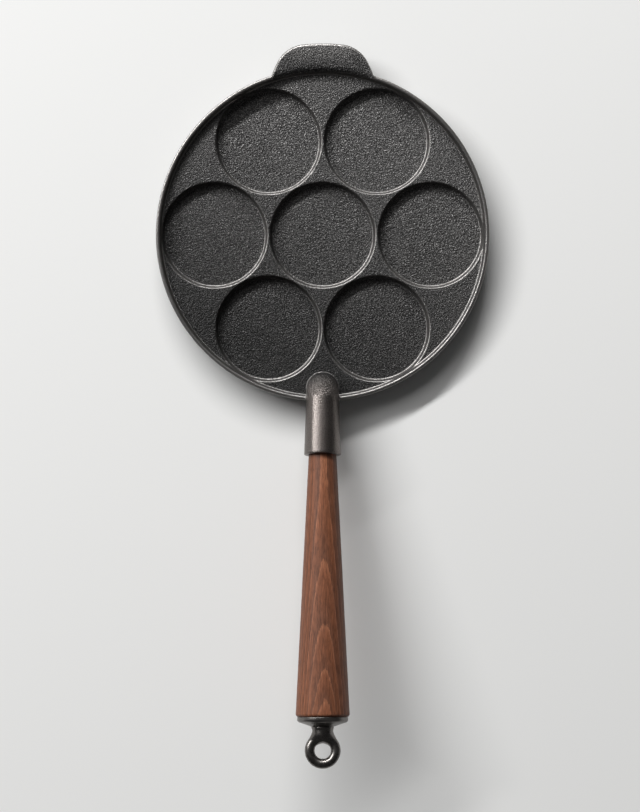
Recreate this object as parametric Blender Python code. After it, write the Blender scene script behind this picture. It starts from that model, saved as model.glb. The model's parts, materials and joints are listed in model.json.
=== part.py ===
"""A small-pancake pan: one iron casting with seven round recesses, a tab and a handle socket,
a turned wooden grip, the steel rod that ties the grip to the socket, a domed end cap and the
hanging eye that screws onto the rod.

Metres, +Z up. The origin is the centre of the flat base, +Y runs to the tab and the handle
leaves along -Y, rising as it goes. Handle pieces are made along the local +Z of handle_axis.
"""

import math

import bmesh
import bpy
from mathutils import Matrix, Vector

# Pan
PAN_RADIUS = 0.115
FLOOR_THICKNESS = 0.0045
RECESS_DEPTH = 0.0055
RIM_HEIGHT = 0.005
RIM_WIDTH = 0.0026
RIM_WALL_LEAN = 0.0009
RIM_BAND_HEIGHT = 0.004
RIM_OUTER_ROUNDING = 0.0012
RIM_INNER_ROUNDING = 0.0011
RIM_FOOT_FILLET = 0.0012
BASE_INSET = 0.004
BASE_ROUNDING = 0.003
RECESS_WEB = 0.00175
RECESS_LEDGE = 0.0002
RECESS_WALL_LEAN = 0.0012
RECESS_FOOT_FILLET = 0.0012

# Tab opposite the handle
TAB_REACH = 0.0165
TAB_ROOT_HALF_WIDTH = 0.0354
TAB_SIDE_LEAN_DEG = 24.7
TAB_CORNER_RADIUS = 0.022
TAB_RISE = 0.001
TAB_THICKNESS = 0.0072
TAB_LIP_ROUNDING = 0.003
TAB_LIP_CORNER_SHARE = 1.3
TAB_EDGE_ROUNDING = 0.0018

# Socket, cast with the pan
HANDLE_RISE_DEG = 9
SOCKET_AXIS_ABOVE_RIM = 0.002
SOCKET_REACH_INSIDE = 0.0199
SOCKET_REACH_OUTSIDE = 0.037
SOCKET_ROOT_RADIUS = 0.011
SOCKET_MOUTH_RADIUS = 0.0127
SOCKET_EDGE_ROUNDING = 0.0008
TENON_LENGTH = 0.026
FIT_GAP = 0.0003

# Turned grip
GRIP_NECK_RADIUS = 0.0095
GRIP_END_RADIUS = 0.0182
GRIP_LENGTH = 0.177
GRIP_EDGE_ROUNDING = 0.0018
TENON_CHAMFER = 0.0008
BORE_CLEARANCE = 0.0005

# Tie rod and its thread
THREAD_RADIUS = 0.004
THREAD_DEPTH = 0.0007
THREAD_PITCH = 0.00125
THREAD_CLEARANCE = 0.0002
SHANK_RADIUS = 0.0036
ROOT_THREAD_LENGTH = 0.014
EYE_THREAD_LENGTH = 0.022
ROD_END_GAP = 0.0006

# End cap
CAP_RADIUS = 0.0171
CAP_HEIGHT = 0.006
CAP_RIM_HEIGHT = 0.0028
CAP_SHOULDER_RADIUS = 0.0105
CAP_SHOULDER_HEIGHT = 0.005
CAP_SEAT_RADIUS = 0.0078
CAP_EDGE_ROUNDING = 0.0018
CAP_CLEARANCE = 0.0004

# Hanging eye
EYE_RING_RADIUS = 0.0087
EYE_STOCK_RADIUS = 0.0033
EYE_CENTRE_OUT = 0.0155
EYE_BOSS_RADIUS = 0.0071
EYE_COLLAR_RADIUS = 0.0075
EYE_COLLAR_HEIGHT = 0.0012
EYE_WEB = 0.0017
EYE_HOLE_TRIM = 0.0002

# Fineness of the round shapes
PAN_STEPS = 96
RECESS_STEPS = 40
HANDLE_STEPS = 36
THREAD_STEPS = 16
RING_STEPS = 36
STOCK_STEPS = 14
ARC_STEPS = 3
DOME_STEPS = 8
TAB_STEPS = 10
SHARP_EDGE_DEG = 35
SPARE_TURNS = 2
CUT_OVERRUN = 0.002
WELD = 1e-6

# Places and sizes that follow from the values above
LAND_HEIGHT = FLOOR_THICKNESS + RECESS_DEPTH
RIM_TOP = LAND_HEIGHT + RIM_HEIGHT
LAND_RADIUS = PAN_RADIUS - RIM_WIDTH - RIM_WALL_LEAN
RECESS_RADIUS = (LAND_RADIUS - RECESS_LEDGE - RECESS_WEB) / 3
RECESS_PITCH = 2 * RECESS_RADIUS + RECESS_WEB
TAB_TOP = RIM_TOP + TAB_RISE

RISE = math.radians(HANDLE_RISE_DEG)
AXIS_START = (0, -PAN_RADIUS, RIM_TOP + SOCKET_AXIS_ABOVE_RIM)
SOCKET_DOME = -(SOCKET_REACH_INSIDE - SOCKET_ROOT_RADIUS) / math.cos(RISE)
SOCKET_MOUTH = SOCKET_REACH_OUTSIDE / math.cos(RISE)
TENON_START = SOCKET_MOUTH - TENON_LENGTH
BORE_BOTTOM = TENON_START - FIT_GAP
ROOT_TAP_BOTTOM = BORE_BOTTOM - ROOT_THREAD_LENGTH
GRIP_END = SOCKET_MOUTH + GRIP_LENGTH
CAP_SEAT = GRIP_END + FIT_GAP
EYE_SEAT = CAP_SEAT + CAP_HEIGHT + FIT_GAP
EYE_CENTRE = EYE_SEAT + EYE_CENTRE_OUT
EYE_HOLE_RADIUS = EYE_RING_RADIUS - EYE_STOCK_RADIUS
EYE_TAP_BOTTOM = EYE_CENTRE - EYE_HOLE_RADIUS - EYE_WEB
ROD_START = ROOT_TAP_BOTTOM + ROD_END_GAP
ROD_END = EYE_TAP_BOTTOM - ROD_END_GAP
THREAD_ROOT = THREAD_RADIUS - THREAD_DEPTH

# A V thread, as (share of a pitch, share of the depth)
THREAD_SHARES = ((0, 0), (0.5, 1))


def clear_scene():
    for obj in list(bpy.data.objects):
        bpy.data.objects.remove(obj, do_unlink=True)


def material(name, colour, roughness, metallic):
    made = bpy.data.materials.new(name)
    made.use_nodes = True
    shader = made.node_tree.nodes["Principled BSDF"]
    shader.inputs["Base Color"].default_value = (*colour, 1)
    shader.inputs["Roughness"].default_value = roughness
    shader.inputs["Metallic"].default_value = metallic
    return made


def object_of(name, bm, look=None, parent=None):
    """A mesh object from a bmesh. One with no look is a helper that only shapes others."""
    bmesh.ops.remove_doubles(bm, verts=bm.verts, dist=WELD)
    bmesh.ops.recalc_face_normals(bm, faces=bm.faces)
    mesh = bpy.data.meshes.new(name)
    bm.to_mesh(mesh)
    bm.free()
    obj = bpy.data.objects.new(name, mesh)
    bpy.context.scene.collection.objects.link(obj)
    obj.parent = parent
    if look is None:
        obj.hide_render = True
        obj.display_type = "WIRE"
    else:
        mesh.materials.append(look)
        mesh.shade_smooth()
        mesh.set_sharp_from_angle(angle=math.radians(SHARP_EDGE_DEG))
    return obj


def join(obj, other, operation):
    made = obj.modifiers.new(f"{operation.lower()} {other.name}", "BOOLEAN")
    made.operation = operation
    made.solver = "EXACT"
    made.object = other


def arc_at(corner, before, after, radius, steps):
    """Points of the arc that rounds a corner between its two neighbours."""
    back = (before - corner).normalized()
    ahead = (after - corner).normalized()
    half = back.angle(ahead) / 2
    centre = corner + (back + ahead).normalized() * (radius / math.sin(half))
    first = corner + back * (radius / math.tan(half)) - centre
    last = corner + ahead * (radius / math.tan(half)) - centre
    across = math.pi - 2 * half
    return [
        centre
        + (
            first * math.sin(across * (1 - step / steps))
            + last * math.sin(across * step / steps)
        )
        / math.sin(across)
        for step in range(steps + 1)
    ]


def rounded(corners):
    """The line through the corners (x, y, radius), each rounded by an arc of that radius."""
    spots = [Vector(corner[:2]) for corner in corners]
    line = []
    for i, (_, _, radius) in enumerate(corners):
        if radius:
            after = spots[(i + 1) % len(spots)]
            line += arc_at(spots[i], spots[i - 1], after, radius, ARC_STEPS)
        else:
            line.append(spots[i])
    return line


def turned(profile, steps, closed=False):
    """A profile of (radius, height) points turned about Z. A ring's profile is closed."""
    bm = bmesh.new()
    verts = [bm.verts.new((radius, 0, height)) for radius, height in profile]
    edges = [bm.edges.new(pair) for pair in zip(verts, verts[1:])]
    if closed:
        edges.append(bm.edges.new((verts[-1], verts[0])))
    bmesh.ops.spin(
        bm, geom=verts + edges, cent=(0, 0, 0), axis=(0, 0, 1), angle=math.tau, steps=steps
    )
    return bm


def thread_rows(start, end, start_radius, end_radius, gap, share):
    """Points (radius, height) up one side of a right-hand thread, a share of a turn round.

    Every thread is counted from the same zero, so a nut and its screw mesh. Spare turns past
    both ends give each side as many rows. They are held within the ends, and over the first
    and last pitch the thread fades into the radius there.
    """
    rows = []
    first = math.floor(start / THREAD_PITCH) - SPARE_TURNS
    last = math.ceil(end / THREAD_PITCH) + SPARE_TURNS
    for turn in range(first, last):
        for place, crest in THREAD_SHARES:
            height = THREAD_PITCH * (turn + place + share)
            height = min(max(height, start), end)
            radius = THREAD_ROOT + gap + THREAD_DEPTH * crest
            rise = min(1, (height - start) / THREAD_PITCH)
            fall = min(1, (end - height) / THREAD_PITCH)
            radius = start_radius + (radius - start_radius) * rise
            radius = end_radius + (radius - end_radius) * fall
            rows.append((radius, height))
    return rows


def threaded(side):
    """A closed solid about Z from side(share of a turn), its (radius, height) from end to end.

    The last column is the first one turn on, so welding the two joins the helix.
    """
    bm = bmesh.new()
    columns = []
    for column in range(THREAD_STEPS + 1):
        share = column / THREAD_STEPS
        points = side(share)
        points = [(0, points[0][1])] + points + [(0, points[-1][1])]
        turn = math.tau * share
        columns.append(
            [bm.verts.new((r * math.cos(turn), r * math.sin(turn), z)) for r, z in points]
        )
    for left, right in zip(columns, columns[1:]):
        for row in range(len(left) - 1):
            bm.faces.new((left[row], right[row], right[row + 1], left[row + 1]))
    return bm


def make_disc(look):
    """The round plate with its rim, before the recesses are cut."""
    corners = [
        (0, 0, 0),
        (PAN_RADIUS - BASE_INSET, 0, BASE_ROUNDING),
        (PAN_RADIUS, RIM_TOP - RIM_BAND_HEIGHT, 0),
        (PAN_RADIUS, RIM_TOP, RIM_OUTER_ROUNDING),
        (PAN_RADIUS - RIM_WIDTH, RIM_TOP, RIM_INNER_ROUNDING),
        (LAND_RADIUS, LAND_HEIGHT, RIM_FOOT_FILLET),
        (0, LAND_HEIGHT, 0),
    ]
    return object_of("pan_casting", turned(rounded(corners), PAN_STEPS), look)


def recess_places():
    yield 0, 0
    for number in range(6):
        turn = math.tau * number / 6
        yield RECESS_PITCH * math.cos(turn), RECESS_PITCH * math.sin(turn)


def make_recess_cutter(number, x, y):
    """A dish-shaped cutter that leaves a flat floor, a fillet and a wall leaning outwards."""
    above = RIM_HEIGHT + TAB_RISE + CUT_OVERRUN
    flare = RECESS_WALL_LEAN / RECESS_DEPTH * above
    corners = [
        (0, FLOOR_THICKNESS, 0),
        (RECESS_RADIUS - RECESS_WALL_LEAN, FLOOR_THICKNESS, RECESS_FOOT_FILLET),
        (RECESS_RADIUS + flare, LAND_HEIGHT + above, 0),
        (0, LAND_HEIGHT + above, 0),
    ]
    cutter = object_of(f"recess_cutter_{number}", turned(rounded(corners), RECESS_STEPS))
    cutter.location = (x, y, 0)
    return cutter


def around(radius, turn):
    """A point in plan at a turn from +Y towards +X."""
    return Vector((radius * math.sin(turn), radius * math.cos(turn)))


def tab_outline():
    """The tab in plan, with each point's edge rounding: its end is concentric with the pan,
    a large arc leads to its side, which leans out to the rim and runs on to the tab's inner
    edge, the line of the rim's inner edge."""
    reach = PAN_RADIUS + TAB_REACH
    inner = PAN_RADIUS - RIM_WIDTH
    lean = math.radians(TAB_SIDE_LEAN_DEG)
    outward = Vector((math.cos(lean), math.sin(lean)))
    down = Vector((math.sin(lean), -math.cos(lean)))
    root = around(PAN_RADIUS, math.asin(TAB_ROOT_HALF_WIDTH / PAN_RADIUS))
    beside = root.dot(outward) - TAB_CORNER_RADIUS
    above = math.sqrt((reach - TAB_CORNER_RADIUS) ** 2 - beside**2)
    centre = outward * beside - down * above
    end_turn = math.atan2(centre.x, centre.y)
    side_turn = math.pi / 2 - lean
    outer = [around(reach, end_turn * step / TAB_STEPS) for step in range(TAB_STEPS)]
    for step in range(TAB_STEPS + 1):
        turn = end_turn + (side_turn - end_turn) * step / TAB_STEPS
        outer.append(centre + around(TAB_CORNER_RADIUS, turn))
    foot_drop = math.sqrt(inner**2 - root.dot(outward) ** 2)
    foot = outward * root.dot(outward) - down * foot_drop
    foot_turn = math.atan2(foot.x, foot.y)
    half_corner = down.angle(around(1, foot_turn + math.pi / 2)) / 2
    lip_turn = foot_turn - TAB_LIP_CORNER_SHARE * TAB_LIP_ROUNDING / math.tan(half_corner) / inner
    inside = [foot] + [around(inner, lip_turn * (1 - step / TAB_STEPS)) for step in range(TAB_STEPS)]
    right = [(point, TAB_EDGE_ROUNDING) for point in outer]
    right += [(point, TAB_LIP_ROUNDING) for point in inside]
    left = [(Vector((-point.x, point.y)), edge) for point, edge in reversed(right[1:])]
    return right + [(around(inner, 0), TAB_LIP_ROUNDING)] + left


def make_tab():
    """The tab as a stack of outlines drawn in at its top and bottom edges, so that both are
    rounded: a rolled lip on the pan's side and smaller roundings elsewhere."""
    outline = tab_outline()
    inward = []
    for i, (point, _) in enumerate(outline):
        back = (point - outline[i - 1][0]).normalized()
        ahead = (outline[(i + 1) % len(outline)][0] - point).normalized()
        normal = Vector((back.y + ahead.y, -back.x - ahead.x)).normalized()
        inward.append(normal / normal.dot(Vector((back.y, -back.x))))
    bm = bmesh.new()
    rings = []
    for end, height in ((-1, TAB_TOP - TAB_THICKNESS), (1, TAB_TOP)):
        for step in range(ARC_STEPS + 1):
            turn = math.pi / 2 * (step if end > 0 else ARC_STEPS - step) / ARC_STEPS
            ring = []
            for (point, edge), normal in zip(outline, inward):
                spot = point + normal * (edge * (1 - math.cos(turn)))
                ring.append(bm.verts.new((*spot, height - end * edge * (1 - math.sin(turn)))))
            rings.append(ring)
    for low, high in zip(rings, rings[1:]):
        for i in range(len(outline)):
            bm.faces.new((low[i - 1], low[i], high[i], high[i - 1]))
    bm.faces.new(rings[0])
    bm.faces.new(rings[-1])
    return object_of("tab_form", bm)


def make_socket(axis):
    """The socket as a solid: a dome inside the pan, a slow flare and a rounded mouth."""
    dome = []
    for step in range(DOME_STEPS + 1):
        turn = math.pi / 2 * step / DOME_STEPS
        height = SOCKET_DOME - SOCKET_ROOT_RADIUS * math.cos(turn)
        dome.append((SOCKET_ROOT_RADIUS * math.sin(turn), height, 0))
    corners = dome + [
        (SOCKET_MOUTH_RADIUS, SOCKET_MOUTH, SOCKET_EDGE_ROUNDING),
        (0, SOCKET_MOUTH, 0),
    ]
    return object_of("socket_form", turned(rounded(corners), HANDLE_STEPS), parent=axis)


def make_socket_bore(axis):
    radius = GRIP_NECK_RADIUS + FIT_GAP
    top = SOCKET_MOUTH + CUT_OVERRUN
    profile = [(0, BORE_BOTTOM), (radius, BORE_BOTTOM), (radius, top), (0, top)]
    return object_of("socket_bore_cutter", turned(profile, HANDLE_STEPS), parent=axis)


def make_tap(name, low, high, low_radius, high_radius, axis):
    """A cutter for a tapped blind hole. Its thread is the rod's, with a clearance all over."""

    def side(share):
        return thread_rows(low, high, low_radius, high_radius, THREAD_CLEARANCE, share)

    return object_of(name, threaded(side), parent=axis)


def make_casting(look, axis):
    casting = make_disc(look)
    join(casting, make_tab(), "UNION")
    join(casting, make_socket(axis), "UNION")
    for number, (x, y) in enumerate(recess_places(), 1):
        join(casting, make_recess_cutter(number, x, y), "DIFFERENCE")
    join(casting, make_socket_bore(axis), "DIFFERENCE")
    mouth = BORE_BOTTOM + THREAD_PITCH / 2
    root = THREAD_ROOT + THREAD_CLEARANCE
    crest = THREAD_RADIUS + THREAD_CLEARANCE
    tap = make_tap("socket_tap_cutter", ROOT_TAP_BOTTOM, mouth, root, crest, axis)
    join(casting, tap, "DIFFERENCE")


def make_grip(look, axis):
    """The cone of the grip, with a straight tenon in the socket and a bore for the rod."""
    bore = THREAD_RADIUS + BORE_CLEARANCE
    corners = [
        (bore, TENON_START, 0),
        (GRIP_NECK_RADIUS - TENON_CHAMFER, TENON_START, 0),
        (GRIP_NECK_RADIUS, TENON_START + TENON_CHAMFER, 0),
        (GRIP_NECK_RADIUS, SOCKET_MOUTH, 0),
        (GRIP_END_RADIUS, GRIP_END, GRIP_EDGE_ROUNDING),
        (bore, GRIP_END, 0),
    ]
    object_of("handle_grip", turned(rounded(corners), HANDLE_STEPS, closed=True), look, axis)


def make_rod(look, axis):
    """A plain shank with a thread at each end: one in the socket, one for the eye."""

    def side(share):
        root = thread_rows(
            ROD_START, BORE_BOTTOM + THREAD_PITCH, THREAD_ROOT, SHANK_RADIUS, 0, share
        )
        eye = thread_rows(
            ROD_END - EYE_THREAD_LENGTH, ROD_END, SHANK_RADIUS, THREAD_ROOT, 0, share
        )
        return root + eye

    object_of("tie_rod", threaded(side), look, axis)


def make_cap(look, axis):
    """A low dome with a short straight rim, a shoulder and a flat seat for the eye."""
    bore = THREAD_RADIUS + CAP_CLEARANCE
    corners = [
        (bore, CAP_SEAT, 0),
        (CAP_RADIUS, CAP_SEAT, 0),
        (CAP_RADIUS, CAP_SEAT + CAP_RIM_HEIGHT, CAP_EDGE_ROUNDING),
        (CAP_SHOULDER_RADIUS, CAP_SEAT + CAP_SHOULDER_HEIGHT, CAP_EDGE_ROUNDING),
        (CAP_SEAT_RADIUS, CAP_SEAT + CAP_HEIGHT, 0),
        (bore, CAP_SEAT + CAP_HEIGHT, 0),
    ]
    object_of("end_cap", turned(rounded(corners), HANDLE_STEPS, closed=True), look, axis)


def make_ring():
    """The ring of the eye, flat in the plane of the handle's axis and local X."""
    bm = bmesh.new()
    rings = []
    for step in range(RING_STEPS):
        turn = math.tau * step / RING_STEPS
        ring = []
        for part in range(STOCK_STEPS):
            lean = math.tau * part / STOCK_STEPS
            reach = EYE_RING_RADIUS + EYE_STOCK_RADIUS * math.cos(lean)
            spot = (reach * math.sin(turn), EYE_STOCK_RADIUS * math.sin(lean))
            ring.append(bm.verts.new((*spot, EYE_CENTRE - reach * math.cos(turn))))
        rings.append(ring)
    for i, ring in enumerate(rings):
        for j in range(STOCK_STEPS):
            bm.faces.new((rings[i - 1][j - 1], ring[j - 1], ring[j], rings[i - 1][j]))
    return bm


def make_boss(axis):
    """The tapped neck of the eye: a collar on the cap, a waist and a round end at the hole."""
    dome = []
    middle = EYE_CENTRE - EYE_HOLE_RADIUS - EYE_BOSS_RADIUS + EYE_WEB
    for step in range(DOME_STEPS + 1):
        turn = math.pi / 2 * (1 - step / DOME_STEPS)
        height = middle + EYE_BOSS_RADIUS * math.cos(turn)
        dome.append((EYE_BOSS_RADIUS * math.sin(turn), height))
    profile = [
        (0, EYE_SEAT),
        (EYE_COLLAR_RADIUS, EYE_SEAT),
        (EYE_BOSS_RADIUS, EYE_SEAT + EYE_COLLAR_HEIGHT),
    ]
    return object_of("eye_boss_form", turned(profile + dome, HANDLE_STEPS), parent=axis)


def make_eye_hole(axis):
    """A drum across the handle that trims the boss's round end to the ring's hole."""
    half = EYE_BOSS_RADIUS + CUT_OVERRUN
    radius = EYE_HOLE_RADIUS + EYE_HOLE_TRIM
    profile = [(0, -half), (radius, -half), (radius, half), (0, half)]
    drum = turned(profile, RING_STEPS)
    # Half a step round, so that its edges fall between those of the ring
    half_step = Matrix.Rotation(math.pi / RING_STEPS, 3, "Z")
    lying = Matrix.Rotation(math.pi / 2, 3, "X")
    bmesh.ops.rotate(drum, verts=drum.verts, matrix=lying @ half_step)
    bmesh.ops.translate(drum, verts=drum.verts, vec=(0, 0, EYE_CENTRE))
    return object_of("eye_hole_cutter", drum, parent=axis)


def make_eye(look, axis):
    eye = object_of("hanging_eye", make_ring(), look, axis)
    join(eye, make_boss(axis), "UNION")
    join(eye, make_eye_hole(axis), "DIFFERENCE")
    mouth = EYE_SEAT - THREAD_PITCH / 2
    root = THREAD_ROOT + THREAD_CLEARANCE
    crest = THREAD_RADIUS + THREAD_CLEARANCE
    tap = make_tap("eye_tap_cutter", mouth, EYE_TAP_BOTTOM, crest, root, axis)
    join(eye, tap, "DIFFERENCE")


def main():
    clear_scene()
    iron = material("cast iron", (0.045, 0.043, 0.042), 0.6, 0.7)
    walnut = material("walnut", (0.17, 0.075, 0.042), 0.5, 0)
    steel = material("zinc steel", (0.5, 0.49, 0.47), 0.35, 1)
    dark_steel = material("dark steel", (0.07, 0.065, 0.06), 0.35, 0.9)
    axis = bpy.data.objects.new("handle_axis", None)
    bpy.context.scene.collection.objects.link(axis)
    axis.location = AXIS_START
    axis.rotation_euler = (math.pi / 2 - RISE, 0, 0)
    make_casting(iron, axis)
    make_grip(walnut, axis)
    make_rod(steel, axis)
    make_cap(dark_steel, axis)
    make_eye(dark_steel, axis)


main()
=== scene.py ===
"""The looks of a small-pancake pan: sand-cast iron with seven recesses, a walnut grip, a dark
steel cap and eye, and the threaded rod that ties them together.

Metres, +Z up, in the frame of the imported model. Every piece is a surface worked out as whole
arrays: a profile turned about an axis, or rays from each recess met by the line of the rim.
Where two cast shapes meet, the mesh is refined and drawn onto the rounded union of their
distance formulas. Handle pieces are laid out along the axis that the eye turns on.
"""

import json
import math

import bmesh
import bpy
import numpy as np
from bpy.props import FloatProperty, FloatVectorProperty, PointerProperty
from mathutils import Euler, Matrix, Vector


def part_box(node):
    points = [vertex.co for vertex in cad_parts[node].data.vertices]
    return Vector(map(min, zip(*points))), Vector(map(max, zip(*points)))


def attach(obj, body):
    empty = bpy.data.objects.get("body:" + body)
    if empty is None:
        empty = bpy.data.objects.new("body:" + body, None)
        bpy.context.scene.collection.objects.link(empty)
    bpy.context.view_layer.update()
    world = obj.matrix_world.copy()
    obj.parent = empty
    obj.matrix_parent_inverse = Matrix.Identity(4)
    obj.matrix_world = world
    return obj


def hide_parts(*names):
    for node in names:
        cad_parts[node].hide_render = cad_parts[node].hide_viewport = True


bl_info = {
    "name": "Pancake Pan",
    "version": (1, 0, 0),
    "blender": (4, 5, 0),
    "location": "View3D > Sidebar > Pancake Pan",
    "description": "A cast-iron pancake pan with a turned walnut grip and a hanging eye",
    "category": "Add Mesh",
}

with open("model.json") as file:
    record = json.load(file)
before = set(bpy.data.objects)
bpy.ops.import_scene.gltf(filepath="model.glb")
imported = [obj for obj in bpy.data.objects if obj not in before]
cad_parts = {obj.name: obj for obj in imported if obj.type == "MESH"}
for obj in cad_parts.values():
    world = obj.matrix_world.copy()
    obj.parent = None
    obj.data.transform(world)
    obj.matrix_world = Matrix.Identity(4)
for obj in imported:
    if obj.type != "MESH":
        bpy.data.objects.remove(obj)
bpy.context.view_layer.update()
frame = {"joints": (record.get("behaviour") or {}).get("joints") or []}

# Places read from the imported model
EYE_JOINT = next(joint for joint in frame["joints"] if joint["name"] == "eye_screw")
AXIS = np.array(EYE_JOINT["axis"]) / np.linalg.norm(EYE_JOINT["axis"])
ACROSS = np.array([1.0, 0.0, 0.0])
UPWARD = np.cross(AXIS, ACROSS)
PAN_RADIUS = round(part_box("pan_casting")[1].x, 6)
TO_RIM = (-PAN_RADIUS - EYE_JOINT["pos_m"][1]) / AXIS[1]
AXIS_START = np.array(EYE_JOINT["pos_m"]) + TO_RIM * AXIS
RISE = math.asin(AXIS[2])

# The cast plate and its rim
FLOOR_THICKNESS = 0.0045
RIM_BAND_HEIGHT = 0.004
RIM_OUTER_ROUNDING = 0.0012
RIM_INNER_ROUNDING = 0.0011
RIM_FOOT_FILLET = 0.0012
BASE_INSET = 0.004
BASE_ROUNDING = 0.003
RECESS_FOOT_FILLET = 0.0012
RECESS_EDGE_ROUNDING = 0.0012

# The six outer recesses stand about the middle one as in a honeycomb, each in its own cell
OUTER_TURNS = [math.tau * number / 6 for number in range(6)]
CELL_HALF_TURN = math.radians(30)

# The tab opposite the handle
TAB_ROOT_HALF_WIDTH = 0.0354
TAB_SIDE_LEAN = math.radians(24.7)
TAB_CORNER_RADIUS = 0.022
TAB_ROOT_FILLET = 0.004
TAB_RISE = 0.001
TAB_THICKNESS = 0.0072
TAB_LIP_ROUNDING = 0.0055
TAB_EDGE_ROUNDING = 0.0018
TAB_STEP_REACH = 0.0015
TAB_LIP_REACH = 0.005

# The socket, cast with the pan: how far it reaches to both sides of the rim, its radii, and its
# fillets, wider on its dome than on the rim, with the span along Y over which they change. Points
# are measured for them only in a zone, which is this wide to both sides and starts at this Y
SOCKET_REACH_INSIDE = 0.0199
SOCKET_REACH_OUTSIDE = 0.037
SOCKET_ROOT_RADIUS = 0.011
SOCKET_MOUTH_RADIUS = 0.0127
SOCKET_EDGE_ROUNDING = 0.0008
DOME_FILLET = 0.0019
RIM_FILLET = 0.0011
DOME_FILLET_SPAN = (-0.1130, -0.1085)
SOCKET_ZONE = (0.018, -0.09)

# The tenon, the thread beyond it, and the gaps between pieces, as they fit and where they show
TENON_LENGTH = 0.026
TENON_RADIUS = 0.0095
TENON_CHAMFER = 0.0008
ROOT_THREAD_LENGTH = 0.014
FIT_GAP = 0.0003
CLOSE_GAP = 0.00006

# The rod and its thread, whose crests are flat because its V is cut a little too full
THREAD_RADIUS = 0.004
THREAD_DEPTH = 0.0007
THREAD_PITCH = 0.00125
THREAD_FULLNESS = 1.15
SHANK_RADIUS = 0.0036
EYE_THREAD_LENGTH = 0.022
ROD_END_GAP = 0.0006
ROD_CLEARANCE = 0.0005
OVERRUN = 0.002

# The cap: drop below the seat and rounding of its edge, and then of each corner of its dome,
# from the edge inward, with that corner's radius first
CAP_CLEARANCE = 0.0004
CAP_FOOT_ROUNDING = 0.0003
CAP_EDGE = (0.0032, 0.0018)
CAP_DOME = ((0.0105, 0.001, 0.002), (0.0078, 0.0, 0.0006))

# The eye's collar, its tapped hole, how its hole keeps its round edge, and where ring and neck
# are blended, counted from the seat and from the ring's centre
COLLAR_RADIUS = 0.0075
COLLAR_TOP = 0.001
COLLAR_END = 0.0019
COLLAR_FOOT_ROUNDING = 0.0003
COLLAR_TOP_ROUNDING = 0.0004
EYE_WEB = 0.0017
EYE_TAP_RADIUS = 0.0041
HOLE_ROUNDING = 0.0012
HOLE_TRIM = 0.0001
BLEND_START = 0.0026
BLEND_END = 0.004

# Rows of the casting's profiles. The tab's underside has as many rows as the outer wall
ARC_POINTS = 6
RISER_ROWS = 3
WALL_TOP_ROW = 1 + ARC_POINTS + RISER_ROWS
LIP_ROWS = WALL_TOP_ROW + ARC_POINTS
BAND_ROWS = 2
UNDER_ARC_POINTS = 3
UNDERSIDE_ROWS = 4
WALL_ROWS = 2 * UNDER_ARC_POINTS + UNDERSIDE_ROWS - 2
LOWER_ROWS = 2
RECESS_WALL_ROWS = 2
BASE_SHARES = (0.9, 0.5, 0.1)
FLOOR_SHARES = (0.23, 0.57, 0.85, 0.95)
LAND_SHARES = (0.15, 0.5, 1.0)

# Columns over one cell: its share of the rim as spans (from, to, count) in degrees, finer at the
# tab's roots, then the side that it shares with the next cell, then its inner side
RIM_SPANS = ((-30, -16, 20), (-16, -9, 28), (-9, 9, 26), (9, 16, 28), (16, 30, 20))
SIDE_COLUMNS = 40
INWARD_COLUMNS = 30
TAB_CORNER_POINTS = 24
TAB_ROOT_POINTS = 16
OUTLINE_TURNS = 20000

# How fine the handle's pieces are
HANDLE_COLUMNS = 128
SOCKET_BALL_ROWS = 22
SOCKET_ROWS = 40
CONE_ROWS = 80
GRIP_EDGE_POINTS = 12
GRIP_END_ROWS = 3
GRIP_BORE_ROWS = 30
CAP_ARC_POINTS = 8
CAP_BORE_ROWS = 6
RING_COLUMNS = 96
STOCK_ROWS = 32
COLLAR_ARC_POINTS = 4
NECK_ROWS = 6
NECK_BALL_ROWS = 18
THREAD_COLUMNS = 48
THREAD_ROWS_PER_TURN = 12
SHANK_ROWS = 20

# How shapes are blended: length of the edges there, how far past a fillet the mesh is refined,
# and how the points are evened out and drawn onto the surface
FILLET_EDGE = 0.00034
EYE_EDGE = 0.00042
NEAR_SHARE = 1.3
REFINE_ROUNDS = 6
RELAX_ROUNDS = 10
NEWTON_ROUNDS = 3
PROBE = 1e-6
LEAST_SLOPE = 0.1
WELD = 1e-6
SHARP_ANGLE = math.radians(50)


def length(name, default, description):
    """A size in metres that a user may change."""
    return FloatProperty(
        name=name, description=description, default=default, min=0, precision=5, unit="LENGTH"
    )


def colour(name, default, description):
    return FloatVectorProperty(
        name=name, description=description, default=default, subtype="COLOR", min=0, max=1
    )


def share(name, default, description):
    return FloatProperty(
        name=name, description=description, default=default, min=0, max=1, subtype="FACTOR"
    )


def angle(name, degrees, description):
    return FloatProperty(
        name=name, description=description, default=math.radians(degrees), subtype="ANGLE"
    )


class PanSizes(bpy.types.PropertyGroup):
    land_height: length("Land height", 0.010, "Height of the land between the recesses")
    rim_height: length("Rim height", 0.005, "Height of the rim above the land")
    rim_width: length("Rim width", 0.0026, "Width of the rim at its top")
    rim_lean: length("Rim lean", 0.0009, "How far the rim's inner wall leans in to its foot")
    recess_ledge: length("Ledge", 0.0002, "Land left between an outer recess and the rim")
    recess_web: length("Web", 0.00175, "Land left between two recesses where they are closest")
    recess_lean: length("Recess lean", 0.0012, "How far a recess narrows from land to floor")
    tab_reach: length("Tab reach", 0.0165, "How far the tab stands out from the rim")


class GripSizes(bpy.types.PropertyGroup):
    neck_radius: length("Neck radius", 0.0095, "Radius of the grip where it leaves the socket")
    end_radius: length("End radius", 0.0182, "Radius of the grip's thick end")
    grip_length: length("Length", 0.177, "Length of the grip outside the socket")
    edge_rounding: length("End rounding", 0.002, "Rounding of the thick end's edge")


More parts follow.
